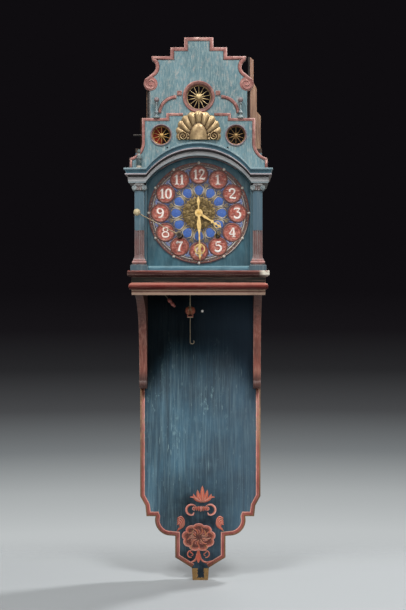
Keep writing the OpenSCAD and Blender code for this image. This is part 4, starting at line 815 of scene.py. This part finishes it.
# The thin dark line inside each pink border is the painted shadow of the raised border.
painted_border_shadow = Finish("dark_line_paint", "3d3539", 0.6)
brown = worn_paint("brown_moulding_paint", "7c4e44", "4f2f28", "a9776a", streak=(120, 120, 120),
                   edge_tone="a9776a", strength=1.4)
upper_edge = arc(110.6, 118, 16.6, -80, 50, 14) + [(114.1, 136.5)] + arc(116.6, 157, 17.5, 234, 120, 12)
upper_edge += [(109.3, 179), (109.3, 181.5), (65.3, 181.5), (65.3, 202), (33.5, 202), (33.5, 225), (0, 225)]
middle_sun_z, side_sun_x, side_sun_z = 88.0, 86.0, -2.0
upper_crest_face = -136.0
block_profile = [(1, 0.03), (0.97, 2.4), (0.8, 2.9), (0.45, 2.2), (0.02, 2.6)]
upper = Relief(upper_crest_face)
for s in (1, -1):
    path = [(s * x, z) for x, z in upper_edge]
    upper.band(path, [(s * 0.1, 0.03), (s * 0.5, 1.4), (s * 3.5, 1.9), (s * 6.4, 1.4), (s * 7.2, 0.9),
                      (s * 7.9, 0.03)], 0)
    upper.band(path[8:], [(s * 7.6, 0.1), (s * 7.8, 0.3), (s * 8.9, 0.3), (s * 9.2, 0.05)], 1)
    cx, cz = s * 110.6, 118
    spiral = [(cx + s * r * math.cos(a), cz + r * math.sin(a)) for r, a in
              ((15.4 - 12.6 * (i / 40) ** 0.9, math.radians(50 - 560 * i / 40)) for i in range(41))]
    upper.turned(cx, cz, [(15.6 * t, 0.9) for t in (1.0, 0.6, 0.02)], 40)
    upper.stroke(spiral, (4.0, 3.2, 2.4), 1.9, 0, steps=2, base=0.8)
    upper.band(arc(s * 51.8, 48.6, 39, 90 - s * 87, 90, 16),
               [(-4, 0.03), (-3.8, 2.2), (-2.2, 2.9), (1.5, 2.9), (2.6, 2.0), (4, 0.03)], [2, 0, 0, 0, 2])
    upper.strip([[(s * 44.5 + sx * t * 5.5, 96.3 + sz * t * 5.2, out) for t, out in block_profile]
                 for sx, sz in ((-1, -1), (1, -1), (1, 1), (-1, 1))], [0, 0, 2, 0], closed=True)
middle_ring = [(37, 0.03), (36.8, 2.2), (35.6, 3.0), (34.0, 3.0), (33.0, 2.1), (31.2, 2.4), (28.6, 1.0),
               (28.05, 0.03)]
upper.turned(0, middle_sun_z, middle_ring, 96, [0, 0, 0, 2, 2, 2, 2])
upper_border = upper.piece("upper_crest_border", pink, painted_border_shadow, brown)
lower_edge = [(159.4, -79.5), (159.4, -55.35)] + arc(166.2, -20, 36, 259, 180, 12)
lower_edge += [(130.2, 37), (74.3, 37), (74.3, 48.6), (36, 48.6)]
lower = Relief(hood_face)
side_ring = [(25.5, 0.03), (25.3, 1.8), (24.4, 2.6), (23.3, 2.4), (22.6, 1.5), (21.3, 1.0), (21.05, 0.03)]
for s in (1, -1):
    path = [(s * x, z) for x, z in lower_edge]
    lower.band(path, [(s * 0.1, 0.03), (s * 0.5, 1.3), (s * 2.8, 1.7), (s * 5.2, 1.3), (s * 6.3, 0.03)], 0)
    lower.band(path, [(s * 6.1, 0.1), (s * 6.3, 0.3), (s * 7.3, 0.3), (s * 7.6, 0.05)], 1)
    lower.turned(s * side_sun_x, side_sun_z, side_ring, 72, [3, 3, 3, 3, 2, 2])
ring_mauve = worn_paint("sun_ring_paint", "83747b", "56636a", "a8908f", streak=(70, 70, 70),
                        edge_tone="97898d", strength=2.0)
lower_border = lower.piece("lower_crest_border", pink, painted_border_shadow, brown, ring_mauve)
for o in (upper_border, lower_border):
    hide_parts("crest_mouldings")


# Shell: a carved and gilded scallop planted on the lower crest. It has a smooth dome, deep ribs fanned
# round the dome, and a scroll at each lower corner.
gilt = Finish("gilding", "c4a873", 0.42, 0.6)
worn = gilt.ramp(gilt.noise(70, 5, 0.65), (0.42, 0.0), (0.62, 0.7))
hollow = gilt.ramp(gilt.add("NewGeometry").outputs["Pointiness"], (0.47, 0.0), (0.5, 0.55), (0.54, 1.0))
tone = gilt.mix(hollow, "3d2b1b", gilt.mix(worn, "c9ae82", "8a6f4a"))
gilt.use("Base Color", tone)
gilt.use("Roughness", gilt.ramp(gilt.noise(120, 4), (0.3, 0.3), (0.7, 0.55)))
gilt.use("Metallic", gilt.ramp(worn, (0.0, 0.7), (1.0, 0.35)))
gilt.bump(gilt.noise(260, 4), 0.25, 0.3)
shell_x, shell_height, shell_ribs, shell_foot = 49, 68, 11, -14.0
across, along = 220, 36
points, faces = [(0, hood_face - 13, shell_foot)], []
for i in range(across + 1):
    a = math.pi * i / across
    rib = abs(math.cos(shell_ribs * (a - math.pi / 2)))
    edge = (shell_x + (shell_height - shell_x) * math.sin(a)) * (0.95 + 0.05 * rib)
    dome_edge = 1 / math.hypot(math.cos(a) / 21.5, math.sin(a) / 39)
    for j in range(1, along + 2):
        t = min(j / along, 1.0)
        x, z = edge * t * math.cos(a), edge * t * math.sin(a)
        inside = edge * t / dome_edge
        if inside < 1:
            out = 4.5 + 8.5 * math.sqrt(1 - inside ** 2)
        else:
            fan = (edge * t - dome_edge) / (edge - dome_edge)
            depth = rib ** 0.55
            if fan >= 0.8:
                depth = depth * (1 - fan) * 5 + 0.9 * (fan - 0.8) * 5
            swell = math.sin(math.pi * min(1, 0.16 + 0.84 * fan)) ** 0.8
            out = 2.2 + 5.2 * swell * (0.25 + 0.75 * depth)
        scroll_x, scroll_z = abs(x) - 35.5, z - 9.0
        spread = math.hypot(scroll_x, scroll_z)
        if spread < 12.5:
            wave = math.cos(2 * math.pi * (spread / 5.6 + math.atan2(scroll_z, scroll_x) / (2 * math.pi)))
            blend = min(1.0, (12.5 - spread) / 2.5)
            out = out * (1 - blend) + blend * (6.2 + 2.1 * wave - spread * 0.12)
        points.append((x, hood_face - (out if j <= along else 0.0), shell_foot + z))
wide = along + 1
for i in range(across):
    faces.append((0, 1 + i * wide, 1 + (i + 1) * wide))
    for j in range(wide - 1):
        a = 1 + i * wide + j
        faces.append((a, a + wide, a + wide + 1, a + 1))
shell = mesh_piece("shell", points, faces, gilt, smooth=True)
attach(shell, "case")
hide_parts("shell_ornament")


# Bell boards: two bare boards, reddish and mottled, that close the bell space behind the crests. The
# right one's front edge and the left one's inner side are painted near-black as painted shade.
side_board = worn_paint("bell_board_wood", "a2745a", "5f3a28", "dcb68c", streak=(170, 170, 22),
                        edge_tone="c39a7c", gloss=0.6, strength=1.9)
facing = side_board.facing()
side_board_x = side_board.axes()["X"]
on_right = side_board.maths("GREATER_THAN", side_board_x, 0.0)
on_left = side_board.maths("SUBTRACT", 1.0, on_right)
right_front = side_board.times(on_right, side_board.maths("LESS_THAN", facing["Y"], -0.5))
left_inside = side_board.times(on_left, side_board.maths("GREATER_THAN", facing["X"], 0.5))
left_edge = side_board.times(on_left, side_board.maths("GREATER_THAN", side_board_x, -0.1203))
in_shade = side_board.maths("MAXIMUM", side_board.maths("MAXIMUM", right_front, left_inside), left_edge)
# Painted shade on the right board's front edge and the left board's inner side.
side_board.use("Base Color", side_board.mix(in_shade, side_board.tone, "1d1410"))
side_board.dress(node["bell_side_left"], node["bell_side_right"])


# Finials: two small turned ones on the crest's shoulders, and the one tower that is left, on the left
# end of the cornice. All three are painted in worn bands of blue, grey and pink.
finial_finish = banded_paint("finial_paint", -80, 90, (0.0, "a8a294"), (0.035, "2f4547"),
                             (0.12, "4d6466"), (0.15, "93a09c"), (0.2, "56706f"), (0.26, "8c7069"),
                             (0.3, "66827f"), (0.69, "7c8c8f"), (0.9, "8f7c7c"), dark="3f5258",
                             pale="b9bcb4", streak=(90, 90, 90), wobble=0.8, strength=1.4)
finial_finish.dress(node["finials"])


# Nails: two forged iron nails, a long dark one left in the edge of the upper crest, and a short one in
# the backboard whose head is painted near-white as a painted highlight.
nail_heads = Finish("nail_heads", "d9d2c6", 0.35)
painted_highlight_nail = nail_heads.maths("LESS_THAN", nail_heads.axes()["Z"], -0.39)
# The short nail's head is near-white: a painted highlight.
nail_heads.use("Base Color", nail_heads.mix(painted_highlight_nail, "2a221c", "fff8f0"))
nail_heads.dress(node["nails"])


# Suns: a pierced sun of thin brass behind each of the three round openings, with a domed boss, thin
# rays and an outer ring that holds it in the wood. Each has its own dull patina.
sun_boss = [(1.0, 0.0), (1.02, 0.14), (0.93, 0.2), (0.82, 0.2), (0.72, 0.34), (0.5, 0.45), (0.25, 0.5),
            (0.02, 0.52)]
suns = (("sun_middle", -127, 0, middle_sun_z, 28, 8.2, 14, "bda77a", "7f6a48"),
        ("sun_left", -137, -side_sun_x, side_sun_z, 21, 5.2, 10, "c4a060", "7d5a34"),
        ("sun_right", -137, side_sun_x, side_sun_z, 21, 5.2, 10, "9c7f52", "5e452f"))
for sun_name, face_y, centre_x, centre_z, radius, hub, rays, bright, dull in suns:
    metal = Finish(sun_name + "_metal", bright, 0.45, 0.7)
    patina = metal.ramp(metal.noise(140, 5, 0.65), (0.4, 0.0), (0.66, 1.0))
    metal.use("Base Color", metal.mix(patina, bright, dull))
    metal.bump(metal.noise(420, 3), 0.15, 0.35)
    sun = Relief(face_y)
    for k in range(rays):
        a = 2 * math.pi * (k + 0.5) / rays
        tip, mid = radius - 1.2, (radius + hub) / 2
        ray = [(centre_x + r * math.cos(a), centre_z + r * math.sin(a)) for r in (hub - 1.5, mid, tip)]
        sun.stroke(ray, (2.6, 2.0, 1.3), 1.6, 0, base=-1.0)
    outer_ring = [(radius - 0.1, 0), (radius - 0.3, 1.2), (radius - 1.5, 1.2), (radius - 1.8, 0)]
    sun.turned(centre_x, centre_z, outer_ring, 72)
    sun.turned(centre_x, centre_z, [(hub * r, hub * out) for r, out in sun_boss], 40)
    sun_piece = sun.piece(sun_name, metal)
    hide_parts("sun_rosettes")


# Dial: a wooden panel behind the window and a round plate set on it. The plate is painted dark blue,
# with twelve bright blue cells between gilt and white leaves, and beads and dashes round its edge.
panel_finish = worn_paint("dial_panel_paint", "2f6170", "1c3d49", "5c8a94", streak=(160, 160, 30))
panel_finish.dress(node["dial_board"])
dial_finish = Finish("dial_paint", "26305c", 0.45)
mottle = dial_finish.ramp(dial_finish.noise(120, 5, 0.7), (0.36, "15161f"), (0.48, "2a3252"),
                          (0.57, "423a48"), (0.67, "7d6e62"))
dial_finish.use("Base Color", mottle)
dial_finish.bump(dial_finish.noise(400, 3), 0.15)
dial_finish.dress(node["dial_plate"])
dial_z, dial_front, numeral_round, bead_round = -180.0, -126.0, 89.4, 116.6


def turned_to(angle, radius, aside=0.0):
    """A point of the dial at a clock angle and a radius, moved aside along the round."""
    a = math.radians(angle)
    return (radius * math.sin(a) + aside * math.cos(a), dial_z + radius * math.cos(a) - aside * math.sin(a))


cell_paint = worn_paint("cell_blue", "3d68b8", "28468c", "7a9fd8", streak=(300, 300, 300))
leaf_white = worn_paint("leaf_white", "e4dccf", "a39d98", "faf4e8", streak=(300, 300, 300))
leaf_gold = worn_paint("leaf_gold", "a08a4a", "5e4c28", "d2bd7c", streak=(300, 300, 300), gloss=0.35)
fleck_blue = worn_paint("fleck_blue", "7f93c4", "4d5e9a", "b5c3e2", streak=(300, 300, 300))
rim_red = worn_paint("rim_red", "7b3f38", "42201d", "b07c6b", streak=(300, 300, 300))
cell_outline = [(41.5, 0), (43.5, -5.4), (49, -8.6), (56, -9.8), (61.5, -6.6), (63.5, 0), (61.5, 6.6),
                (56, 9.8), (49, 8.6), (43.5, 5.4)]
gilt_leaf = [(39.5, 2.6), (43, 7.2), (49.5, 10.0), (57, 11.3), (65.5, 3.6)]
white_line = [(44, 7.2), (50, 10.2), (56.5, 11.5), (62, 9.0)]
painting = Relief(dial_front)
for k in range(12):
    a = 30 * k
    cell = [turned_to(a, r, w) for r, w in cell_outline]
    cx, cz = turned_to(a, 52)
    painting.strip([[(cx + (x - cx) * t, cz + (z - cz) * t, out)
                     for t, out in ((1, 0.05), (0.82, 0.4), (0.02, 0.55))]
                    for x, z in smooth(cell + cell[:1], 3)])
    for s in (-1, 1):
        painting.stroke([turned_to(a, r, s * w) for r, w in gilt_leaf], (1.2, 2.8, 0.8), 0.6, 2)
        painting.stroke([turned_to(a, r, s * w) for r, w in white_line], (0.4, 2.2, 0.4), 0.9, 1)
    b = a + 15
    painting.stroke([turned_to(b, 38.5), turned_to(b, 52, 0.4), turned_to(b, 70)], (1.8, 2.6, 0.8), 0.8, 2)
    painting.stroke([turned_to(b, 44, -0.9), turned_to(b, 54, -0.7), turned_to(b, 63, -0.2)],
                    (0.3, 1.5, 0.3), 1.1, 1)
    for s in (-1, 1):
        for path, widths, out, kind in (([(61, 0.5), (66, 3.4), (71, 2.4)], (0.8, 2.2, 0.3), 0.7, 2),
                                        ([(103, 1.2), (100, 6.2), (97.5, 12.5)], (2.2, 3.0, 0.3), 0.6, 3),
                                        ([(104.5, 0.8), (103.4, 7), (102.4, 14)], (0.4, 1.2, 0.2), 0.9, 1)):
            painting.stroke([turned_to(b, r, s * w) for r, w in path], widths, out, kind)
    painting.stroke([turned_to(b, 105), turned_to(b, 98), turned_to(b, 89)], (4.6, 4.0, 0.3), 0.7, 3)
    painting.stroke([turned_to(b, 102), turned_to(b, 97), turned_to(b, 92)], (0.4, 1.3, 0.2), 1.0, 1)
    painting.stroke([turned_to(b, 84), turned_to(b, 78, 0.6), turned_to(b, 72)], (0.4, 2.0, 0.5), 0.7, 0)


def ring(radius, steps=144):
    return [turned_to(-360 * i / steps, radius) for i in range(steps)]


painting.band(ring(107.6), [(-0.85, 0.03), (-0.3, 0.6), (0.3, 0.6), (0.85, 0.03)], 1, closed=True)
painting.band(ring(110.2), [(-0.9, 0.03), (-0.4, 0.5), (0.4, 0.5), (0.9, 0.03)], 4, closed=True)
painting.band(ring(115.6), [(-1.4, 0.03), (-0.5, 0.8), (0.9, 0.8), (2.0, 0.5), (2.2, 0.03)], 4, closed=True)
for k in range(48):
    painting.stroke([turned_to(7.5 * k - 2.6, 111.4), turned_to(7.5 * k, 113.6),
                     turned_to(7.5 * k + 2.6, 111.4)], (0.6, 2.2, 0.6), 0.6, 4)
random.seed(12)
for k in range(96):
    a = 3.75 * k + random.uniform(-0.5, 0.5)
    span = random.uniform(1.1, 1.7)
    start = turned_to(a - span / 2, 112.6 + random.uniform(-0.5, 0.5))
    painting.stroke([start, turned_to(a, 113.2), turned_to(a + span / 2, 112.8)],
                    (0.5, random.uniform(1.2, 2.0), 0.4), 0.9, 2 if k % 3 else 1)
    b = a + 1.6
    painting.stroke([turned_to(b - span / 2, 109.4), turned_to(b, 110.2), turned_to(b + span / 2, 109.9)],
                    (0.3, 1.2, 0.3), 0.8, 2)
painting.stroke([turned_to(a, 116) for a in range(98, 155, 4)], (0.4, 2.2, 0.6), 1.2, 1)
painting.stroke([turned_to(a, 108.6) for a in range(96, 150, 4)], (0.3, 1.6, 0.4), 1.1, 1)
for k in range(12):
    x, z = turned_to(30 * k, bead_round)
    painting.turned(x, z, [(3.3, 0.05), (3.0, 1.1), (1.9, 2.1), (0.05, 2.4)], 14, 1)
dial_painting = painting.piece("dial_painting", cell_paint, leaf_white, leaf_gold, fleck_blue, rim_red)


# Cartouches: twelve domed discs with a raised rim, painted red and scratched pale, set on the plate. The
# two low ones beside the 6 are cut round the winding holes.
cartouche_finish = Finish("cartouche_paint", "a24a3d", 0.5)
blotch = cartouche_finish.ramp(cartouche_finish.noise(170, 6, 0.75), (0.36, "5a211b"), (0.46, "943c2e"),
                               (0.56, "b75a48"), (0.68, "dba08c"))
scratch = cartouche_finish.ramp(cartouche_finish.noise(1, 5, 0.75, stretch=(90, 300, 380)), (0.52, 0.0),
                                (0.64, 0.85))
cartouche_finish.use("Base Color", cartouche_finish.mix(scratch, blotch, "d9a695"))
cartouche_finish.bump(cartouche_finish.noise(260, 4, 0.7), 0.5, 0.3)
cartouche_rim = worn_paint("cartouche_rim", "8a4338", "4a211c", "c08a78", streak=(300, 300, 300),
                           strength=1.3)
winding_x, hole_radius = 43.5, 6.7
cartouche_profile = [(22.2, 0.0), (22.0, 0.8), (21.0, 1.5), (20.0, 1.7), (19.0, 1.45), (18.2, 1.05),
                     (15.5, 1.25), (11, 1.45), (6, 1.55), (0.05, 1.6)]
discs = Relief(dial_front)
for k in range(12):
    x, z = turned_to(30 * k, numeral_round)
    rows = []
    for i in range(56):
        a = 2 * math.pi * i / 56
        row = []
        for r, out in cartouche_profile:
            px, pz = x + r * math.cos(a), z + r * math.sin(a)
            for hole_x in (-winding_x, winding_x):
                reach = math.hypot(px - hole_x, pz - winding_z)
                if reach < hole_radius:
                    px = hole_x + (px - hole_x) * hole_radius / reach
                    pz = winding_z + (pz - winding_z) * hole_radius / reach
            row.append((px, pz, out))
        rows.append(row)
    discs.strip(rows, [1, 1, 1, 1, 1, 0, 0, 0, 0], closed=True)
cartouches = discs.piece("cartouches", cartouche_finish, cartouche_rim)
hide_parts("numeral_cartouches")


# Numerals: arabic hours painted in white with a full brush, one to twelve. Each figure is a set of brush
# strokes in a box one unit high: the stroke's points, then its widths in millimetres.
figures = {
    "0": [([(0.27, 1.0), (0.08, 0.86), (0.02, 0.5), (0.08, 0.14), (0.27, 0.0)], (1.2, 3.0, 1.2)),
          ([(0.27, 0.0), (0.46, 0.14), (0.52, 0.5), (0.46, 0.86), (0.27, 1.0)], (1.2, 3.0, 1.2))],
    "1": [([(0.24, 1.02), (0.25, 0.5), (0.24, 0.0)], (2.6, 3.0, 2.8)),
          ([(0.04, 0.78), (0.14, 0.86), (0.24, 1.0)], (0.6, 1.6, 2.0)),
          ([(0.04, 0.01), (0.25, 0.04), (0.46, 0.01)], (1.0, 1.9, 1.0))],
    "2": [([(0.06, 0.7), (0.07, 0.9), (0.25, 1.01), (0.44, 0.9), (0.45, 0.68), (0.25, 0.36), (0.03, 0.05)],
           (2.6, 2.6, 1.4)),
          ([(0.03, 0.05), (0.26, 0.07), (0.5, 0.02), (0.55, 0.18)], (1.4, 2.8, 1.0))],
    "3": [([(0.03, 0.84), (0.07, 0.97), (0.47, 0.98)], (1.6, 2.2, 1.6)),
          ([(0.47, 0.98), (0.36, 0.78), (0.22, 0.6)], (1.6, 1.7, 1.6)),
          ([(0.22, 0.6), (0.42, 0.56), (0.51, 0.32), (0.42, 0.06), (0.22, -0.03), (0.04, 0.08), (0.06, 0.2)],
           (1.6, 3.2, 2.0))],
    "4": [([(0.38, 1.0), (0.2, 0.66), (0.02, 0.31)], (1.6, 1.8, 1.4)),
          ([(0.02, 0.3), (0.28, 0.3), (0.56, 0.32)], (1.4, 2.0, 1.2)),
          ([(0.38, 1.0), (0.39, 0.5), (0.38, 0.0)], (1.8, 2.9, 2.6)),
          ([(0.22, 0.01), (0.38, 0.03), (0.56, 0.01)], (0.9, 1.7, 0.9))],
    "5": [([(0.5, 1.0), (0.3, 0.95), (0.12, 0.98)], (1.0, 2.4, 1.6)),
          ([(0.12, 0.98), (0.1, 0.78), (0.09, 0.56)], (1.4, 1.6, 1.2)),
          ([(0.09, 0.56), (0.3, 0.63), (0.49, 0.46), (0.48, 0.16), (0.28, -0.02), (0.06, 0.05), (0.06, 0.18)],
           (1.4, 3.2, 2.0))],
    "6": [([(0.45, 0.94), (0.24, 0.94), (0.07, 0.62), (0.07, 0.22), (0.27, 0.0)], (1.6, 3.0, 1.2)),
          ([(0.27, 0.0), (0.47, 0.12), (0.48, 0.4), (0.3, 0.55), (0.1, 0.42)], (1.2, 2.8, 1.0))],
    "7": [([(0.04, 0.78), (0.07, 0.98), (0.28, 0.93), (0.52, 1.0)], (1.4, 2.6, 1.4)),
          ([(0.52, 1.0), (0.32, 0.6), (0.24, 0.26), (0.22, 0.0)], (1.4, 2.6, 3.0)),
          ([(0.1, 0.01), (0.22, 0.03), (0.38, 0.01)], (0.8, 1.6, 0.8))],
    "8": [([(0.27, 0.55), (0.1, 0.66), (0.1, 0.9), (0.27, 1.0), (0.44, 0.9), (0.44, 0.66), (0.27, 0.55)],
           (1.4, 2.2, 1.4)),
          ([(0.27, 0.55), (0.04, 0.42), (0.05, 0.1), (0.27, 0.0), (0.5, 0.1), (0.5, 0.42), (0.27, 0.55)],
           (1.4, 2.6, 1.4))],
    "9": [([(0.09, 0.06), (0.3, 0.06), (0.47, 0.38), (0.47, 0.78), (0.27, 1.0)], (1.6, 3.0, 1.2)),
          ([(0.27, 1.0), (0.07, 0.88), (0.06, 0.6), (0.24, 0.45), (0.44, 0.58)], (1.2, 2.8, 1.0))]}
figure_paint = worn_paint("numeral_paint", "fffaf4", "f6ded0", "ffffff", streak=(300, 300, 300),
                          fleck=0.2, strength=0.6)
numbers = Relief(dial_front - 1.4)
for hour in range(1, 13):
    x, z = turned_to(30 * hour, numeral_round)
    digits, tall = str(hour), 22.0
    pitch = 0.61 * tall if hour != 11 else 0.55 * tall
    broad = 1.27 if len(digits) == 1 else 1.04
    for n, digit in enumerate(digits):
        left = x + (n - (len(digits) - 1) / 2) * pitch - 0.27 * tall
        for path, widths in figures[digit]:
            line = [(left + (0.27 + (px - 0.27) * broad) * tall, z + (pz - 0.5) * tall) for px, pz in path]
            numbers.stroke(line, tuple(w * 1.5 for w in widths), 0.45, 0, base=0.1)
numerals = numbers.piece("numerals", figure_paint)


# Brass centre: a thin embossed disc on the dial's plate, under the hands. Two rings of veined leaves
# stand inside its scalloped edge, and its hollows are dark.
emboss = Finish("embossed_brass", "8f7c42", 0.45, 0.55)
worn = emboss.ramp(emboss.add("NewGeometry").outputs["Pointiness"], (0.46, 0.0), (0.5, 0.45), (0.55, 1.0))
polish = emboss.ramp(emboss.noise(150, 5), (0.35, 0.0), (0.68, 1.0))
emboss.use("Base Color", emboss.mix(worn, "241c0b", emboss.mix(polish, "5e4a28", "c3a468")))
emboss.bump(emboss.noise(500, 4), 0.3, 0.2)
rows = []
for i in range(288):
    a = 2 * math.pi * i / 288
    edge = 38.8 * (0.925 + 0.075 * abs(math.cos(12 * a)) ** 0.7)
    outer_leaf = 0.3 + 0.7 * abs(math.cos(6 * a)) ** 0.8
    inner_leaf = 0.3 + 0.7 * abs(math.sin(6 * a)) ** 0.8
    row = []
    for j in range(41):
        u = 0.14 + 0.86 * j / 40
        outer = outer_leaf * max(0.0, math.sin(math.pi * max(0.0, u - 0.52) / 0.5))
        inner = 0.0
        if u < 0.62:
            inner = inner_leaf * max(0.0, math.sin(math.pi * max(0.0, u - 0.2) / 0.42))
        vein = 0.16 * math.sin(34 * u + 4 * math.cos(12 * a)) + 0.1 * math.sin(24 * a) * math.sin(20 * u)
        out = 0.55 + 1.35 * max(outer, inner) + vein * min(1, (1 - u) * 8)
        row.append((edge * u * math.cos(a), dial_z + edge * u * math.sin(a), out if j < 40 else 0.0))
    rows.append(row)
foliage = Relief(dial_front)
foliage.strip(rows, 0, closed=True)
brass_centre = foliage.piece("brass_centre", emboss)
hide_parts("dial_centre")


# Hands: sawn and pierced out of sheet brass, one on the pipe of the hour wheel and one on the cannon
# pinion. Their brass is bright where it is wiped and brown where it is not.
hand_brass = Finish("hand_brass", "c4a464", 0.38, 0.6)
browned = hand_brass.ramp(hand_brass.noise(130, 4), (0.4, 0.0), (0.7, 0.8))
hand_brass.use("Base Color", hand_brass.mix(browned, "cfb072", "957443"))
hand_brass.bump(hand_brass.noise(300, 3), 0.1, 0.7)
hand_brass.dress(node["minute_hand"], node["hour_hand"])


# Crank: a thin iron arm, worn pale, riveted to a dark pipe that stands on the left winding square. Its
# turned knob is bone.
crank_finish = Finish("crank_iron", "9c8a6c", 0.42, 0.6)
knob_middle, square_middle = (-0.1389, -0.180, -0.1825), (-winding_x * MM, 0, winding_z * MM)
knob_reach = crank_finish.add("VectorMath", {0: crank_finish.place, 1: knob_middle},
                              operation="DISTANCE").outputs["Value"]
knob = crank_finish.maths("LESS_THAN", knob_reach, 0.0092)
upright = crank_finish.add("VectorMath", {0: crank_finish.place, 1: (1, 0, 1)},
                           operation="MULTIPLY").outputs["Vector"]
square_reach = crank_finish.add("VectorMath", {0: upright, 1: square_middle},
                                operation="DISTANCE").outputs["Value"]
arm_tone = crank_finish.mix(crank_finish.noise(150, 4), "6f6049", "a8967a")
arm_tone = crank_finish.mix(crank_finish.ramp(square_reach, (0.0055, 1.0), (0.0078, 0.0)), arm_tone, "1c1512")
bone_tone = crank_finish.mix(crank_finish.noise(90, 4), "a8946a", "e0d2ab")
crank_finish.use("Base Color", crank_finish.mix(knob, arm_tone, bone_tone))
crank_finish.use("Metallic", crank_finish.ramp(knob, (0.0, 0.5), (1.0, 0.0)))
crank_finish.bump(crank_finish.noise(300, 3), 0.1, 0.4)
crank_finish.dress(node["winding_crank"])


# Movement and bells: brass plates held by four pillars, with brass wheels, iron barrels, pallets and
# hammers between and above them, and two cast bronze bells on an iron stand.
clock_brass = Finish("clock_brass", "bd9a55", 0.38, 0.9)
tarnish = clock_brass.ramp(clock_brass.noise(70, 5, 0.65), (0.4, 0.0), (0.7, 0.9))
clock_brass.use("Base Color", clock_brass.mix(tarnish, "caa762", "80622f"))
brushed = clock_brass.noise(1, 4, stretch=(60, 60, 900))
clock_brass.use("Roughness", clock_brass.ramp(brushed, (0.3, 0.3), (0.7, 0.5)))
clock_brass.bump(clock_brass.noise(1, 3, stretch=(60, 60, 900)), 0.05, 0.25)
brass_nodes = ["front_plate", "back_plate", "plate_pillars", "cannon_pinion", "centre_wheel",
               "hour_wheel", "minute_wheel", "going_great_wheel", "third_wheel", "escape_wheel",
               "strike_great_wheel", "pin_wheel", "fly", "dial_feet"]
old_iron = Finish("old_iron", "5d5852", 0.5, 0.8)
rust = old_iron.ramp(old_iron.noise(160, 5), (0.4, 0.0), (0.65, 1.0))
old_iron.use("Base Color", old_iron.mix(rust, "6e6a66", "4a3327"))
old_iron.bump(old_iron.noise(500, 4), 0.15, 0.2)
iron_nodes = ["right_barrel", "left_barrel", "pallets", "pendulum", "large_bell_hammer",
              "small_bell_hammer", "bell_stand"]
bell_bronze = Finish("bell_metal", "9a7d45", 0.35, 0.9)
bell_stain = bell_bronze.ramp(bell_bronze.noise(45, 5, 0.65), (0.4, 0.0), (0.68, 0.9))
bell_bronze.use("Base Color", bell_bronze.mix(bell_stain, "a98a4e", "5e5136"))
bell_bronze.bump(bell_bronze.noise(200, 3), 0.12, 0.3)
for names, finish in ((brass_nodes, clock_brass), (iron_nodes, old_iron),
                      (["large_bell", "small_bell"], bell_bronze)):
    finish.dress(*(node[name] for name in names))


# Pulley: a wooden block between two turned cheeks, with a wooden sheave on a pin inside it, and an iron
# wire hook below it for the weight.
block_finish = Finish("pulley_wood", "7c3b28", 0.5)
height = block_finish.axes()["Z"]
wire = block_finish.maths("LESS_THAN", height, -0.4225)
wood_tone = block_finish.mix(block_finish.noise(1, 4, stretch=(200, 200, 60)), "5c2a1e", "a5583c")
wire_tone = block_finish.mix(block_finish.noise(220, 4), "4b443c", "918672")
block_finish.use("Base Color", block_finish.mix(wire, wood_tone, wire_tone))
block_finish.use("Metallic", block_finish.ramp(wire, (0.0, 0.0), (1.0, 0.8)))
block_finish.bump(block_finish.noise(300, 3), 0.2, 0.8)
block_finish.dress(node["pulley_block"])
sheave_finish = Finish("sheave_wood", "8a5433", 0.45)
sheave_grain = sheave_finish.noise(1, 4, stretch=(90, 500, 500))
sheave_finish.use("Base Color", sheave_finish.mix(sheave_grain, "5c3320", "a8693f"))
sheave_finish.dress(node["pulley_sheave"])
cheek_profile = [(8.4, 5.15), (8.9, 5.9), (8.9, 6.8)]
for angle in range(9, 91, 9):
    a = math.radians(angle)
    cheek_profile.append((max(8.5 * math.cos(a), 0.05), 7.1 + 4.6 * math.sin(a)))
for side, s in (("left", -1), ("right", 1)):
    cheek = lathe("pulley_cheek_" + side, (line_x, -74, pulley_height), (s, 0, 0), cheek_profile,
                  block_finish)
    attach(cheek, "pulley")
